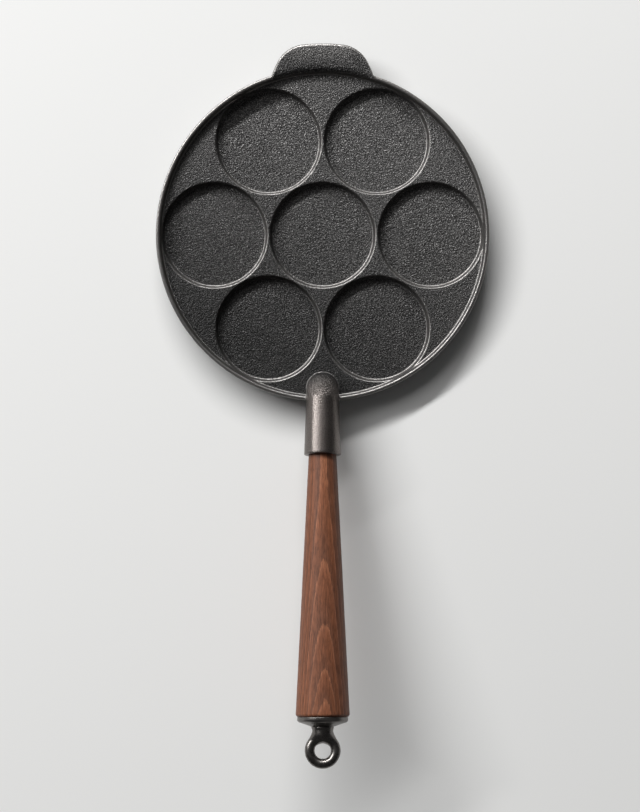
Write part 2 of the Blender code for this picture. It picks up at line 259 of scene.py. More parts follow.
class EyeSizes(bpy.types.PropertyGroup):
    cap_radius: length("Cap radius", 0.0171, "Radius of the domed cap")
    cap_height: length("Cap height", 0.006, "Height of the cap from the wood to its seat")
    ring_radius: length("Ring radius", 0.0087, "Radius of the ring's centre line")
    stock_radius: length("Stock radius", 0.0033, "Radius of the steel that the ring is made of")
    centre_out: length("Ring centre", 0.0155, "From the cap's seat to the ring's centre")
    neck_radius: length("Neck radius", 0.0071, "Radius of the tapped neck")
    blend: length("Blend", 0.003, "Fillet between the neck and the ring")


class Finishes(bpy.types.PropertyGroup):
    iron: colour("Iron", (0.048, 0.0463, 0.0456), "Seasoned sand-cast iron")
    worn_iron: colour("Worn iron", (0.26, 0.25, 0.242), "Smooth iron along the walls and the rim")
    iron_fleck: colour("Iron fleck", (0.22, 0.215, 0.21), "Bright grains in the iron")
    socket_iron: colour("Socket iron", (0.185, 0.164, 0.153), "The smoother iron of the socket")
    wood_light: colour("Wood light", (0.245, 0.098, 0.052), "Early wood, just past each line")
    wood_mid: colour("Wood middle", (0.190, 0.071, 0.036), "The body of each growth ring")
    wood_dark: colour("Wood dark", (0.132, 0.054, 0.031), "Late wood, before each line")
    wood_pore: colour("Wood pore", (0.05, 0.026, 0.018), "Pores, as short dark strokes")
    steel: colour("Dark steel", (0.20, 0.188, 0.178), "Burnished steel of the cap and the eye")
    zinc: colour("Zinc", (0.55, 0.54, 0.51), "Zinc-plated steel of the rod")
    sheen: share("Wood sheen", 0.05, "Strength of the oiled coat on the wood")
    cap_roughness: share("Cap roughness", 0.3, "Roughness of the cap")
    eye_roughness: share("Eye roughness", 0.26, "Roughness of the eye")
    zinc_roughness: share("Zinc roughness", 0.28, "Roughness of the rod")


class StageLook(bpy.types.PropertyGroup):
    floor: colour("Floor", (0.80, 0.80, 0.79), "The plain pale floor")
    fill: share("Fill", 0.06, "Share of the light on the floor that comes from all round")
    soft: share("Soft light", 0.18, "Share of the light on the floor that comes from the soft light")
    turn: angle("Light turn", 122, "Where both lights stand, counted from +X towards +Y")
    span: angle("Light span", 70, "Angle that both lights take up from side to side")
    key_height: angle("Key height", 32.5, "Angle of the key light above the floor")
    key_depth: angle("Key depth", 3.5, "Angle that the key light takes up from top to bottom")
    soft_height: angle("Soft height", 47, "Angle of the soft light above the floor")
    soft_depth: angle("Soft depth", 20, "Angle that the soft light takes up from top to bottom")
    light_distance: length("Light distance", 4.0, "From the pan to either light")
    camera_height: length("Camera height", 1.324, "Height of the camera above the floor")


def unit(vector):
    return vector / np.linalg.norm(vector)


def arc(before, corner, after, radius, count=ARC_POINTS):
    """Points of the arc that rounds a corner: it touches the sides towards both neighbours, and
    its points are sine-weighted means of its two ends as seen from its centre."""
    before, corner, after = (np.asarray(spot, float) for spot in (before, corner, after))
    back, ahead = unit(before - corner), unit(after - corner)
    half = math.acos(np.clip(back @ ahead, -1, 1)) / 2
    centre = corner + unit(back + ahead) * radius / math.sin(half)
    first = corner + back * radius / math.tan(half) - centre
    last = corner + ahead * radius / math.tan(half) - centre
    across = math.pi - 2 * half
    step = np.linspace(0, 1, count)[:, None]
    mean = first * np.sin(across * (1 - step)) + last * np.sin(across * step)
    return centre + mean / math.sin(across)


def rounded(corners, count=ARC_POINTS):
    """The line through corners (x, y, radius), with an arc in place of each that has a radius."""
    spots = [np.array(corner[:2]) for corner in corners]
    line = []
    for i, (_, _, radius) in enumerate(corners):
        if radius:
            line.append(arc(spots[i - 1], spots[i], spots[(i + 1) % len(spots)], radius, count))
        else:
            line.append(spots[i][None])
    return np.concatenate(line)


def between(start, end, count):
    """Points strictly between two points, evenly spaced."""
    return np.linspace(start, end, count + 2)[1:-1]


def smooth_step(low, high, value):
    """0 up to low, 1 from high, and 3t^2 - 2t^3 between them."""
    step = np.clip((value - low) / (high - low), 0, 1)
    return step * step * (3 - 2 * step)


def closed_grid(points, first=0):
    """Quads over a grid of points by row and column, whose last column meets its first."""
    rows, columns = points.shape[:2]
    corner = np.arange(rows * columns).reshape(rows, columns) + first
    beside = np.roll(corner, -1, axis=1)
    return np.stack([corner[:-1], beside[:-1], beside[1:], corner[1:]], -1).reshape(-1, 4)


def mesh_of(name, grids, poles=()):
    """A mesh from closed grids. A pole (grid, row, point) closes one end of a grid with a fan."""
    points, faces, starts = [], [], []
    count = 0
    for grid in grids:
        faces += closed_grid(grid, count).tolist()
        points.append(grid.reshape(-1, 3))
        starts.append(count)
        count += len(points[-1])
    for number, row, pole in poles:
        rows, columns = grids[number].shape[:2]
        rim = np.arange(columns) + starts[number] + (row % rows) * columns
        tip = np.full(columns, count)
        faces += np.stack([tip, rim, np.roll(rim, -1)], -1).tolist()
        points.append(np.array([pole], float))
        count += 1
    mesh = bpy.data.meshes.new(name)
    mesh.from_pydata(np.concatenate(points), [], faces)
    bm = bmesh.new()
    bm.from_mesh(mesh)
    bmesh.ops.remove_doubles(bm, verts=bm.verts, dist=WELD)
    bmesh.ops.recalc_face_normals(bm, faces=bm.faces)
    bm.to_mesh(mesh)
    bm.free()
    return mesh


def object_of(mesh):
    made = bpy.data.objects.new(mesh.name, mesh)
    bpy.context.scene.collection.objects.link(made)
    return made


def finished(made, look, body, node):
    """Shades a piece, gives it its material and says what it rides on and stands for."""
    made.data.shade_smooth()
    made.data.set_sharp_from_angle(angle=SHARP_ANGLE)
    made.data.materials.clear()
    made.data.materials.append(look)
    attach(made, body)
    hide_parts(node)


def along(radii, heights, turns):
    """Points at radii and heights about the handle's axis, at turns from across to upward."""
    side = np.cos(turns)[..., None] * ACROSS + np.sin(turns)[..., None] * UPWARD
    return AXIS_START + heights[..., None] * AXIS + radii[..., None] * side


def turned(profile, columns=HANDLE_COLUMNS):
    """The grid of a profile (radius, height) turned about the handle's axis."""
    turns = np.linspace(0, math.tau, columns, endpoint=False)
    radii, heights = np.broadcast_arrays(profile[:, 0, None], np.zeros(columns))
    heights = np.broadcast_to(profile[:, 1, None], radii.shape)
    return along(radii, heights, np.broadcast_to(turns, radii.shape))


def cut(target, others, operation):
    """Joins other solids to a solid, or cuts them out of it, and keeps the result as its mesh."""
    for other in others:
        step = target.modifiers.new(operation, "BOOLEAN")
        step.operation = operation
        step.solver = "EXACT"
        step.object = other
    graph = bpy.context.evaluated_depsgraph_get()
    made = bpy.data.meshes.new_from_object(target.evaluated_get(graph))
    target.modifiers.clear()
    old = target.data
    made.name = target.name
    target.data = made
    bpy.data.meshes.remove(old)
    for other in others:
        bpy.data.meshes.remove(other.data)


def outline_distance(spots, outline):
    """Signed distance in a plane to a closed outline: the least distance to any side, and
    negative where a ray crosses the outline an odd number of times."""
    nearest = np.full(len(spots), np.inf)
    inside = np.zeros(len(spots), bool)
    x, y = spots.T
    for start, end in zip(outline, np.roll(outline, -1, axis=0)):
        side = end - start
        reach = side @ side
        if reach == 0:
            continue
        place = np.clip((spots - start) @ side / reach, 0, 1)
        nearest = np.minimum(nearest, np.hypot(*(spots - start - place[:, None] * side).T))
        if start[1] != end[1]:
            met = start[0] + (y - start[1]) / side[1] * side[0]
            inside ^= ((start[1] > y) != (end[1] > y)) & (x < met)
    return np.where(inside, -nearest, nearest)


def turned_distance(points, outline):
    """Signed distance to the solid of an outline (radius, height) turned about Z."""
    return outline_distance(np.stack([np.hypot(*points[:, :2].T), points[:, 2]], -1), outline)


def handle_place(points):
    """(across, upward, along) of points in the handle's frame."""
    return (points - AXIS_START) @ np.stack([ACROSS, UPWARD, AXIS], axis=-1)


def rounded_union(first, second, radius):
    """Distance to two shapes joined with a round fillet: outside the fillet the lesser distance,
    and inside it the radius less the distance to the corner of the two offset shapes."""
    gap = np.hypot(np.maximum(radius - first, 0), np.maximum(radius - second, 0))
    return np.maximum(radius, np.minimum(first, second)) - gap


def slope_of(distance, points):
    """Central differences of a distance formula."""
    steps = np.eye(3) * PROBE
    parts = [distance(points + step) - distance(points - step) for step in steps]
    return np.stack(parts, axis=-1) / (2 * PROBE)


def drawn_onto(distance, points, rounds=1):
    """Newton steps along the slope, towards where the distance is zero."""
    for _ in range(rounds):
        slope = slope_of(distance, points)
        size = np.maximum((slope * slope).sum(-1), LEAST_SLOPE)
        points = points - (distance(points) / size)[:, None] * slope
    return points


def soften(mesh, near, distance, edge):
    """Refines the mesh where near(points) is true until its edges are short, then evens it out
    and draws it onto distance = 0. Evening out moves a point to the mean of its neighbours."""
    bm = bmesh.new()
    bm.from_mesh(mesh)
    for _ in range(REFINE_ROUNDS):
        bmesh.ops.triangulate(bm, faces=[face for face in bm.faces if len(face.verts) > 3])
        bm.to_mesh(mesh)
        points, edges = arrays_of(mesh)
        ends = points[edges]
        middle_near = near(ends.mean(1))
        inside = near(points)[edges].any(1) | middle_near
        longer = np.linalg.norm(ends[:, 0] - ends[:, 1], axis=1) > edge
        bm.edges.ensure_lookup_table()
        chosen = [bm.edges[i] for i in np.flatnonzero(inside & longer)]
        if not chosen:
            break
        bmesh.ops.subdivide_edges(bm, edges=chosen, cuts=1)
    bmesh.ops.triangulate(bm, faces=[face for face in bm.faces if len(face.verts) > 3])
    bm.to_mesh(mesh)
    bm.free()
    points, edges = arrays_of(mesh)
    moving = np.flatnonzero(near(points))
    count = np.bincount(edges.ravel(), minlength=len(points))
    for _ in range(RELAX_ROUNDS):
        total = np.zeros_like(points)
        np.add.at(total, edges[:, 0], points[edges[:, 1]])
        np.add.at(total, edges[:, 1], points[edges[:, 0]])
        points[moving] = drawn_onto(distance, total[moving] / count[moving, None])
    points[moving] = drawn_onto(distance, points[moving], NEWTON_ROUNDS)
    mesh.vertices.foreach_set("co", points.ravel())
    mesh.update()


def arrays_of(mesh):
    points = np.empty(len(mesh.vertices) * 3, np.float32)
    mesh.vertices.foreach_get("co", points)
    edges = np.empty(len(mesh.edges) * 2, np.int32)
    mesh.edges.foreach_get("vertices", edges)
    return points.reshape(-1, 3).astype(float), edges.reshape(-1, 2)


def add_mask(mesh, name, values):
    mask = mesh.attributes.new(name, "FLOAT", "POINT")
    mask.data.foreach_set("value", values.astype(np.float32))


class Casting:
    """Sizes and profiles of the cast pan, worked out once from what the user set."""

    def __init__(self, sizes):
        self.sizes = sizes
        self.land = sizes.land_height
        self.top = self.land + sizes.rim_height
        self.inner = PAN_RADIUS - sizes.rim_width
        self.land_radius = self.inner - sizes.rim_lean
        self.recess = (self.land_radius - sizes.recess_ledge - sizes.recess_web) / 3
        self.pitch = 2 * self.recess + sizes.recess_web
        self.recess_floor = self.recess - sizes.recess_lean
        floor, edge = (self.recess_floor, FLOOR_THICKNESS), (self.recess, self.land)
        self.foot_arc = arc((0, FLOOR_THICKNESS), floor, edge, RECESS_FOOT_FILLET)
        self.edge_arc = arc(floor, edge, (2 * self.recess, self.land), RECESS_EDGE_ROUNDING)
        foot, brow = (self.land_radius, self.land), (self.inner, self.top)
        self.rim_foot = arc((0, self.land), foot, brow, RIM_FOOT_FILLET)
        self.cell_edge = self.edge_arc[ARC_POINTS // 2, 0]
        self.cell_rim = self.rim_foot[0, 0] - RIM_FOOT_FILLET / 2
        self.rim = self.rim_rows(brow)
        self.tab, self.hang, self.inset = self.tab_rows()

    def lower_rows(self, start):
        """From the outer wall, round the base's edge and in over the base."""
        corner = (PAN_RADIUS - BASE_INSET, 0)
        base = arc(start, corner, (0, 0), BASE_ROUNDING)
        inner = [(base[-1, 0] * place, 0) for place in BASE_SHARES]
        return np.concatenate([between(start, base[0], LOWER_ROWS), base, inner])

    def rim_rows(self, brow):
        """The profile (radius, height) from the land over the rim to the base."""
        foot = (self.land_radius, self.land)
        outer, band = (PAN_RADIUS, self.top), (PAN_RADIUS, self.top - RIM_BAND_HEIGHT)
        inner_arc = arc(foot, brow, outer, RIM_INNER_ROUNDING)
        outer_arc = arc(brow, outer, band, RIM_OUTER_ROUNDING)
        shelf = self.shelf_spot()
        wall = np.concatenate([[band], between(band, shelf, WALL_ROWS), [shelf]])
        return np.concatenate(
            [
                [(self.cell_rim, self.land)],
                self.rim_foot,
                between(self.rim_foot[-1], inner_arc[0], RISER_ROWS),
                inner_arc,
                outer_arc,
                between(outer_arc[-1], band, BAND_ROWS),
                wall,
                self.lower_rows(shelf),
            ]
        )

    def shelf_spot(self):
        """Where the tab's underside meets the leaning outer wall."""
        band = self.top - RIM_BAND_HEIGHT
        height = self.top + TAB_RISE - TAB_THICKNESS
        return PAN_RADIUS - BASE_INSET * (band - height) / band, height

    def tab_rows(self):
        """The same rows where the tab is, at its full reach, with how much of the outline's
        change each row follows and how far each lies inside the outline's rounded edge."""
        reach = PAN_RADIUS + self.sizes.tab_reach
        top = self.top + TAB_RISE
        shelf = self.shelf_spot()
        foot, brow = (self.land_radius, self.land), (self.inner, top)
        outer, under = (reach, top), (reach, shelf[1])
        lip = arc(foot, brow, outer, TAB_LIP_ROUNDING)
        edge = arc(brow, outer, under, TAB_EDGE_ROUNDING)
        lower_edge = arc(outer, under, shelf, TAB_EDGE_ROUNDING, UNDER_ARC_POINTS)
        foot = (PAN_RADIUS - BASE_INSET, 0)
        root = arc(under, shelf, foot, TAB_EDGE_ROUNDING, UNDER_ARC_POINTS)
        underside = between(lower_edge[-1], root[0], UNDERSIDE_ROWS)
        parts = [
            ([(self.cell_rim, self.land)], 0),
            (self.rim_foot, 0),
            (between(self.rim_foot[-1], lip[0], RISER_ROWS), 0),
            (lip, 0),
            (edge, 1),
            (between(edge[-1], lower_edge[0], BAND_ROWS), 1),
            (lower_edge, 1),
            (underside, np.linspace(1, 0, UNDERSIDE_ROWS + 2)[1:-1]),
            (root, 0),
            (self.lower_rows(shelf), 0),
        ]
        rows = np.concatenate([part for part, _ in parts])
        hang = np.concatenate([np.broadcast_to(follow, len(part)) for part, follow in parts])
        inset = np.where(hang == 1, reach - rows[:, 0], 0)
        return rows, hang, inset

    def tab_outline(self, turn):
        """Radius of the outline at a turn from the tab's middle, and how much longer a radial
        step is than a step square to the outline. A large arc touches the end, which is round
        about the pan's centre, and the side, which leans out to the rim."""
        reach = PAN_RADIUS + self.sizes.tab_reach
        out = np.array([math.cos(TAB_SIDE_LEAN), math.sin(TAB_SIDE_LEAN)])
        up = np.array([-out[1], out[0]])
        root = math.asin(TAB_ROOT_HALF_WIDTH / PAN_RADIUS)
        foot = PAN_RADIUS * np.array([math.sin(root), math.cos(root)])
        beside = foot @ out - TAB_CORNER_RADIUS
        above = math.sqrt((reach - TAB_CORNER_RADIUS) ** 2 - beside**2)
        centre = beside * out + above * up
        end = math.atan2(centre[0], centre[1])
        swing = np.linspace(end, math.pi / 2 - TAB_SIDE_LEAN, TAB_CORNER_POINTS)
        corner = centre + TAB_CORNER_RADIUS * np.stack([np.sin(swing), np.cos(swing)], -1)
        after = foot + np.array([math.cos(root), -math.sin(root)])
        fillet = arc(corner[-1], foot, after, TAB_ROOT_FILLET, TAB_ROOT_POINTS)
        line = np.concatenate([corner, fillet])
        turns, radii = np.arctan2(line[:, 0], line[:, 1]), np.hypot(*line.T)
        fine = np.linspace(0, math.pi, OUTLINE_TURNS)
        radius = np.interp(fine, turns, radii, left=reach, right=PAN_RADIUS)
        radius = np.where(fine > turns[-1], PAN_RADIUS, np.maximum(radius, PAN_RADIUS))
        stretch = np.hypot(1, np.gradient(radius, fine) / radius)
        return np.interp(turn, fine, radius), np.interp(turn, fine, stretch)

    def cell_rays(self):
        """Turns and lengths of the rays from an outer recess to the edge of its cell, and the
        turns about the pan's centre of those that reach the rim, where the rest meet the cells
        beside it. The cells of the seven recesses are those of a honeycomb."""
        spans = [np.linspace(*span) for span in RIM_SPANS]
        rim_turns = np.radians(np.unique(np.concatenate(spans)))
        sine = self.pitch * np.sin(rim_turns)
        beyond = self.pitch * np.cos(rim_turns)
        beyond = beyond + np.sqrt(np.maximum(self.cell_edge**2 - sine**2, 0))
        rim_radii = np.maximum(self.cell_rim, beyond)
        x = rim_radii * np.cos(rim_turns) - self.pitch
        y = rim_radii * np.sin(rim_turns)
        turns, lengths = [np.arctan2(y, x)], [np.hypot(x, y)]
        inner_start, inner_end = math.pi - CELL_HALF_TURN, math.pi + CELL_HALF_TURN
        side = np.linspace(turns[0][-1], inner_start, SIDE_COLUMNS + 1)[1:]
        inward = np.linspace(inner_start, inner_end, INWARD_COLUMNS + 1)[1:]
        back = math.tau - side[::-1]
        turns += [side, inward, back[1:]]
        side_length = self.pitch / 2 / np.sin(side - CELL_HALF_TURN)
        lengths += [side_length, self.pitch / 2 / -np.cos(inward), side_length[::-1][1:]]
        return np.concatenate(turns), np.concatenate(lengths), rim_turns, rim_radii

    def height(self, x, y):
        """Height of the top inside the rim: the land and rim at that radius, less what the
        recess nearest to the point takes away."""
        nearest = np.hypot(x, y)
        for turn in OUTER_TURNS:
            gap = np.hypot(x - self.pitch * math.cos(turn), y - self.pitch * math.sin(turn))
            nearest = np.minimum(nearest, gap)
        dish = np.concatenate([self.foot_arc, self.edge_arc])
        inner = self.rim[:LIP_ROWS]
        rim = np.interp(np.hypot(x, y), inner[:, 0], inner[:, 1])
        return rim + np.interp(nearest, dish[:, 0], dish[:, 1]) - self.land

    def cell(self, centre, turns, lengths):
        """The grid over one cell: rows at fixed distances from the recess's centre up to its
        rounded edge, or to the ray's end if that is nearer, then rows shared out over what is
        left of each ray."""
        floor = self.recess_floor * np.array(FLOOR_SHARES)
        wall = between(self.foot_arc[-1], self.edge_arc[0], RECESS_WALL_ROWS)
        fixed = np.concatenate([floor, self.foot_arc[:, 0], wall[:, 0], self.edge_arc[:, 0]])
        fixed = np.minimum(fixed[:, None], lengths)
        land = fixed[-1] + np.array(LAND_SHARES)[:, None] * (lengths - fixed[-1])
        reach = np.concatenate([fixed, land])
        x = centre[0] + reach * np.cos(turns)
        y = centre[1] + reach * np.sin(turns)
        return np.stack([x, y, self.height(x, y)], -1)

    def rim_grid(self, turns, radii):
        """The grid of the rim, tab, outer wall and base: the rim's rows where there is no tab,
        the tab's rows where there is, and a step between them over the tab's first reach, a
        longer one for its rolled lip than for its edge."""
        outline, stretch = self.tab_outline(np.abs(turns - math.pi / 2))
        beyond = outline - PAN_RADIUS
        step = np.tile(smooth_step(0, TAB_STEP_REACH, beyond), (len(self.rim), 1))
        step[:LIP_ROWS] = smooth_step(0, TAB_LIP_REACH, beyond)
        moved = outline - PAN_RADIUS - self.sizes.tab_reach
        tab = self.tab[:, 0, None] + self.hang[:, None] * moved
        tab -= self.inset[:, None] * (stretch - 1)
        wall_top = self.rim[WALL_TOP_ROW, 0]
        squeeze = (wall_top - radii) / (wall_top - self.cell_rim)
        radius = np.repeat(self.rim[:, 0, None], len(turns), axis=1)
        low = self.rim[:, 0] < wall_top
        low[WALL_TOP_ROW:] = False
        radius[low] = radii + (radius[low] - self.cell_rim) * squeeze
        height = np.repeat(self.rim[:, 1, None], len(turns), axis=1)
        height[low] = self.height(radius[low] * np.cos(turns), radius[low] * np.sin(turns))
        radius = radius * (1 - step) + tab * step
        height = height * (1 - step) + self.tab[:, 1, None] * step
        return np.stack([radius * np.cos(turns), radius * np.sin(turns), height], -1)

    def grids(self):
        """All grids of the pan without its socket, and the poles that close them."""
        turns, lengths, rim_turns, rim_radii = self.cell_rays()
        middle = np.linspace(0, math.tau, len(OUTER_TURNS) * INWARD_COLUMNS, endpoint=False)
        to_side = middle % (2 * CELL_HALF_TURN) - CELL_HALF_TURN
        middle -= CELL_HALF_TURN
        grids = [self.cell((0, 0), middle, self.pitch / 2 / np.cos(to_side))]
        poles = [(0, 0, (0, 0, FLOOR_THICKNESS))]
        for number, turn in enumerate(OUTER_TURNS, 1):
            centre = self.pitch * math.cos(turn), self.pitch * math.sin(turn)
            grids.append(self.cell(centre, turns + turn, lengths))
            poles.append((number, 0, (*centre, FLOOR_THICKNESS)))
        around = np.concatenate([rim_turns[:-1] + turn for turn in OUTER_TURNS])
        poles.append((len(grids), -1, (0, 0, 0)))
        grids.append(self.rim_grid(around, np.tile(rim_radii[:-1], len(OUTER_TURNS))))
        return grids, poles

    def profile_distance(self, points):
        """Distance to the turned plate and rim, without recesses and tab."""
        return turned_distance(points, np.concatenate([self.rim, [(0, 0), (0, self.land)]]))


def socket_mouth():
    """Where the socket ends, along the handle."""
    return SOCKET_REACH_OUTSIDE / math.cos(RISE)


def bore_floor():
    """Where the socket's bore for the tenon ends, along the handle."""
    return socket_mouth() - TENON_LENGTH - FIT_GAP


def socket_outline():
    """The socket's profile (radius, height): a half ball, a slow flare and a rounded mouth."""
    dome = -(SOCKET_REACH_INSIDE - SOCKET_ROOT_RADIUS) / math.cos(RISE)
    mouth = socket_mouth()
    turns = np.linspace(0, math.pi / 2, SOCKET_BALL_ROWS)
    ball = np.stack([np.sin(turns), -np.cos(turns)], -1) * SOCKET_ROOT_RADIUS + [0, dome]
    edge = arc(ball[-1], (SOCKET_MOUTH_RADIUS, mouth), (0, mouth), SOCKET_EDGE_ROUNDING)
    return np.concatenate([ball, between(ball[-1], edge[0], SOCKET_ROWS), edge])


def ring_of(name, profile, bore_rows):
    """A turned piece with a bore: the profile's last point is joined to its first by the bore."""
    bore = between(profile[-1], profile[0], bore_rows)
    return object_of(mesh_of(name, [turned(np.concatenate([profile, bore, profile[:1]]))]))


def lathe(name, outline):
    """A solid turned about the handle's axis from a profile whose two ends are on the axis."""
    grid = turned(outline[1:-1])
    ends = [AXIS_START + outline[end, 1] * AXIS for end in (0, -1)]
    return object_of(mesh_of(name, [grid], [(0, 0, ends[0]), (0, -1, ends[1])]))


def make_casting(sizes):
    """The cast pan: its grids joined with the socket, the fillets between them drawn round, the
    bores for tenon and rod drilled, and where it is polished and worn, with a painted highlight on
    the walls that face the light, written on its points."""
    shape = Casting(sizes)
    grids, poles = shape.grids()
    casting = object_of(mesh_of("cast_pan", grids, poles))
    outline = socket_outline()
    closed = np.concatenate([outline, [(0, outline[-1, 1])]])
    cut(casting, [lathe("socket", closed)], "UNION")

    def socket_distance(points):
        return turned_distance(handle_place(points), closed)

    def fillet(points):
        on_dome = smooth_step(*DOME_FILLET_SPAN, points[:, 1])
        return RIM_FILLET + (DOME_FILLET - RIM_FILLET) * on_dome

    def near(points):
        close = np.zeros(len(points), bool)
        maybe = in_socket_zone(points)
        spots = points[maybe]
        both = np.maximum(shape.profile_distance(spots), socket_distance(spots))
        close[maybe] = both < NEAR_SHARE * fillet(spots)
        return close

    def distance(points):
        plate, socket = shape.profile_distance(points), socket_distance(points)
        return rounded_union(plate, socket, fillet(points))

    soften(casting.data, near, distance, FILLET_EDGE)
    bore, over = bore_floor(), socket_mouth() + OVERRUN
    tap = bore - ROOT_THREAD_LENGTH
    wide, slim = TENON_RADIUS + FIT_GAP, THREAD_RADIUS + ROD_CLEARANCE
    drill = [(0, tap), (slim, tap), (slim, bore), (wide, bore), (wide, over), (0, over)]
    cut(casting, [lathe("socket_bore", np.array(drill))], "DIFFERENCE")
    points, _ = arrays_of(casting.data)
    polish, fillet_line = socket_masks(points, socket_distance)
    add_mask(casting.data, "polish", polish)
    # The wear mask also holds a painted highlight: it is strongest on the walls that face the light.
    add_mask(casting.data, "wear_and_highlight", np.maximum(wear_and_highlight_mask(points, shape), fillet_line))
    return casting


# Where the iron is worn smooth: how far wear fades out; how little of it a recess's walls have on
# their shaded side, and which side, facing the light, has most, a painted highlight; over which
# cosines of the turn from there it fades;
# and where it starts round the socket, whose own finish begins along the handle between two places
WEAR_FADE = 0.0003
SHADED_WALL_WEAR = 0.1
LIT_WALL_SIDE = math.radians(-55)
LIT_WALL_FADE = (-0.4, 0.6)
SKIN_FADE = (0.0001, 0.0006)
FILLET_FADE = (0.8 * DOME_FILLET, 1.1 * DOME_FILLET)
POLISH_START = (-0.020, 0.0)


def in_socket_zone(points):
    """Which points are close enough to the socket to be worth measuring."""
    return np.flatnonzero((np.abs(points[:, 0]) < SOCKET_ZONE[0]) & (points[:, 1] < SOCKET_ZONE[1]))


def socket_masks(points, distance):
    """1 on the socket, falling to 0 over its dome and the fillet round it, and 1 on that
    fillet, falling to 0 on the plate."""
    socket, fillet = np.zeros((2, len(points)))
    maybe = in_socket_zone(points)
    away = distance(points[maybe])
    out = handle_place(points[maybe])[:, 2]
    off_skin = smooth_step(*SKIN_FADE, away)
    socket[maybe] = (1 - off_skin) * smooth_step(*POLISH_START, out)
    fillet[maybe] = (1 - smooth_step(*FILLET_FADE, away)) * off_skin
    return socket, fillet


def wear_and_highlight_mask(points, shape):
    """1 where the casting is rubbed smooth, which is from the foot of each wall to its crest, on
    the top of the rim and along the edge of the tab, with a short fade at both sides, and 0 on
    the base. On the walls of a recess it is also a painted highlight: most on the side that faces the
    light, least on the shaded side."""
    radius = np.hypot(points[:, 0], points[:, 1])
    turn = np.abs(np.arctan2(points[:, 0], points[:, 1]))
    outline, _ = shape.tab_outline(turn)
    nearest, facing = radius.copy(), np.arctan2(points[:, 1], points[:, 0])
    for around in OUTER_TURNS:
        x = points[:, 0] - shape.pitch * math.cos(around)
        y = points[:, 1] - shape.pitch * math.sin(around)
        facing = np.where(np.hypot(x, y) < nearest, np.arctan2(y, x), facing)
        nearest = np.minimum(nearest, np.hypot(x, y))
    foot, crest = shape.foot_arc[1, 0], shape.edge_arc[-2, 0]
    wall = smooth_step(foot - WEAR_FADE, foot + WEAR_FADE, nearest)
    wall *= smooth_step(crest + WEAR_FADE, crest - WEAR_FADE, nearest)
    # Painted highlight: the walls that face the light get the most worn iron colour, the shaded ones
    # the least.
    facing_light = smooth_step(*LIT_WALL_FADE, np.cos(facing - LIT_WALL_SIDE))
    wall *= SHADED_WALL_WEAR + (1 - SHADED_WALL_WEAR) * facing_light
    rim_start = shape.rim_foot[1, 0]
    rim = smooth_step(rim_start - WEAR_FADE, rim_start + WEAR_FADE, radius)
    on_tab = smooth_step(0, TAB_STEP_REACH, outline - PAN_RADIUS)
    rim *= 1 - on_tab * smooth_step(shape.inner - 2 * WEAR_FADE, shape.inner, radius)
    edge_start, edge_end = TAB_EDGE_ROUNDING + WEAR_FADE, TAB_EDGE_ROUNDING - 2 * WEAR_FADE
    edge = smooth_step(edge_start, edge_end, outline - radius)
    above = points[:, 2] > shape.top - RIM_BAND_HEIGHT
    rubbed = np.maximum(rim, edge) * (above | (radius < shape.inner))
    upper = points[:, 2] > FLOOR_THICKNESS - WEAR_FADE
    return np.maximum(wall * (radius < shape.land_radius), rubbed) * upper


def make_grip(sizes):
    """The turned grip: a tenon, a straight cone and a rounded thick end, bored for the rod."""
    mouth = socket_mouth()
    start, end = mouth - TENON_LENGTH, mouth + sizes.grip_length
    bore = THREAD_RADIUS + ROD_CLEARANCE
    neck = sizes.neck_radius
    tenon = rounded([(bore, start, 0), (neck, start, TENON_CHAMFER), (neck, mouth, 0)])
    rim, brow = (bore, end), (sizes.end_radius, end)
    edge = arc(tenon[-1], brow, rim, sizes.edge_rounding, GRIP_EDGE_POINTS)
    cone = between(tenon[-1], edge[0], CONE_ROWS)
    profile = np.concatenate([tenon, cone, edge, between(edge[-1], rim, GRIP_END_ROWS), [rim]])
    return ring_of("walnut_grip", profile, GRIP_BORE_ROWS)


def make_cap(sizes, end):
    """The cap: a short straight edge, a low dome and a flat seat, with a hole for the rod."""
    bore = THREAD_RADIUS + CAP_CLEARANCE
    low, high = end + CLOSE_GAP, end + FIT_GAP + sizes.cap_height
    corners = [(bore, low, 0), (sizes.cap_radius, low, CAP_FOOT_ROUNDING)]
    dome = [(sizes.cap_radius, *CAP_EDGE), *CAP_DOME]
    corners += [(radius, high - drop, rounding) for radius, drop, rounding in dome]
    profile = rounded([*corners, (bore, high, 0)], CAP_ARC_POINTS)
    return ring_of("end_dome", profile, CAP_BORE_ROWS)


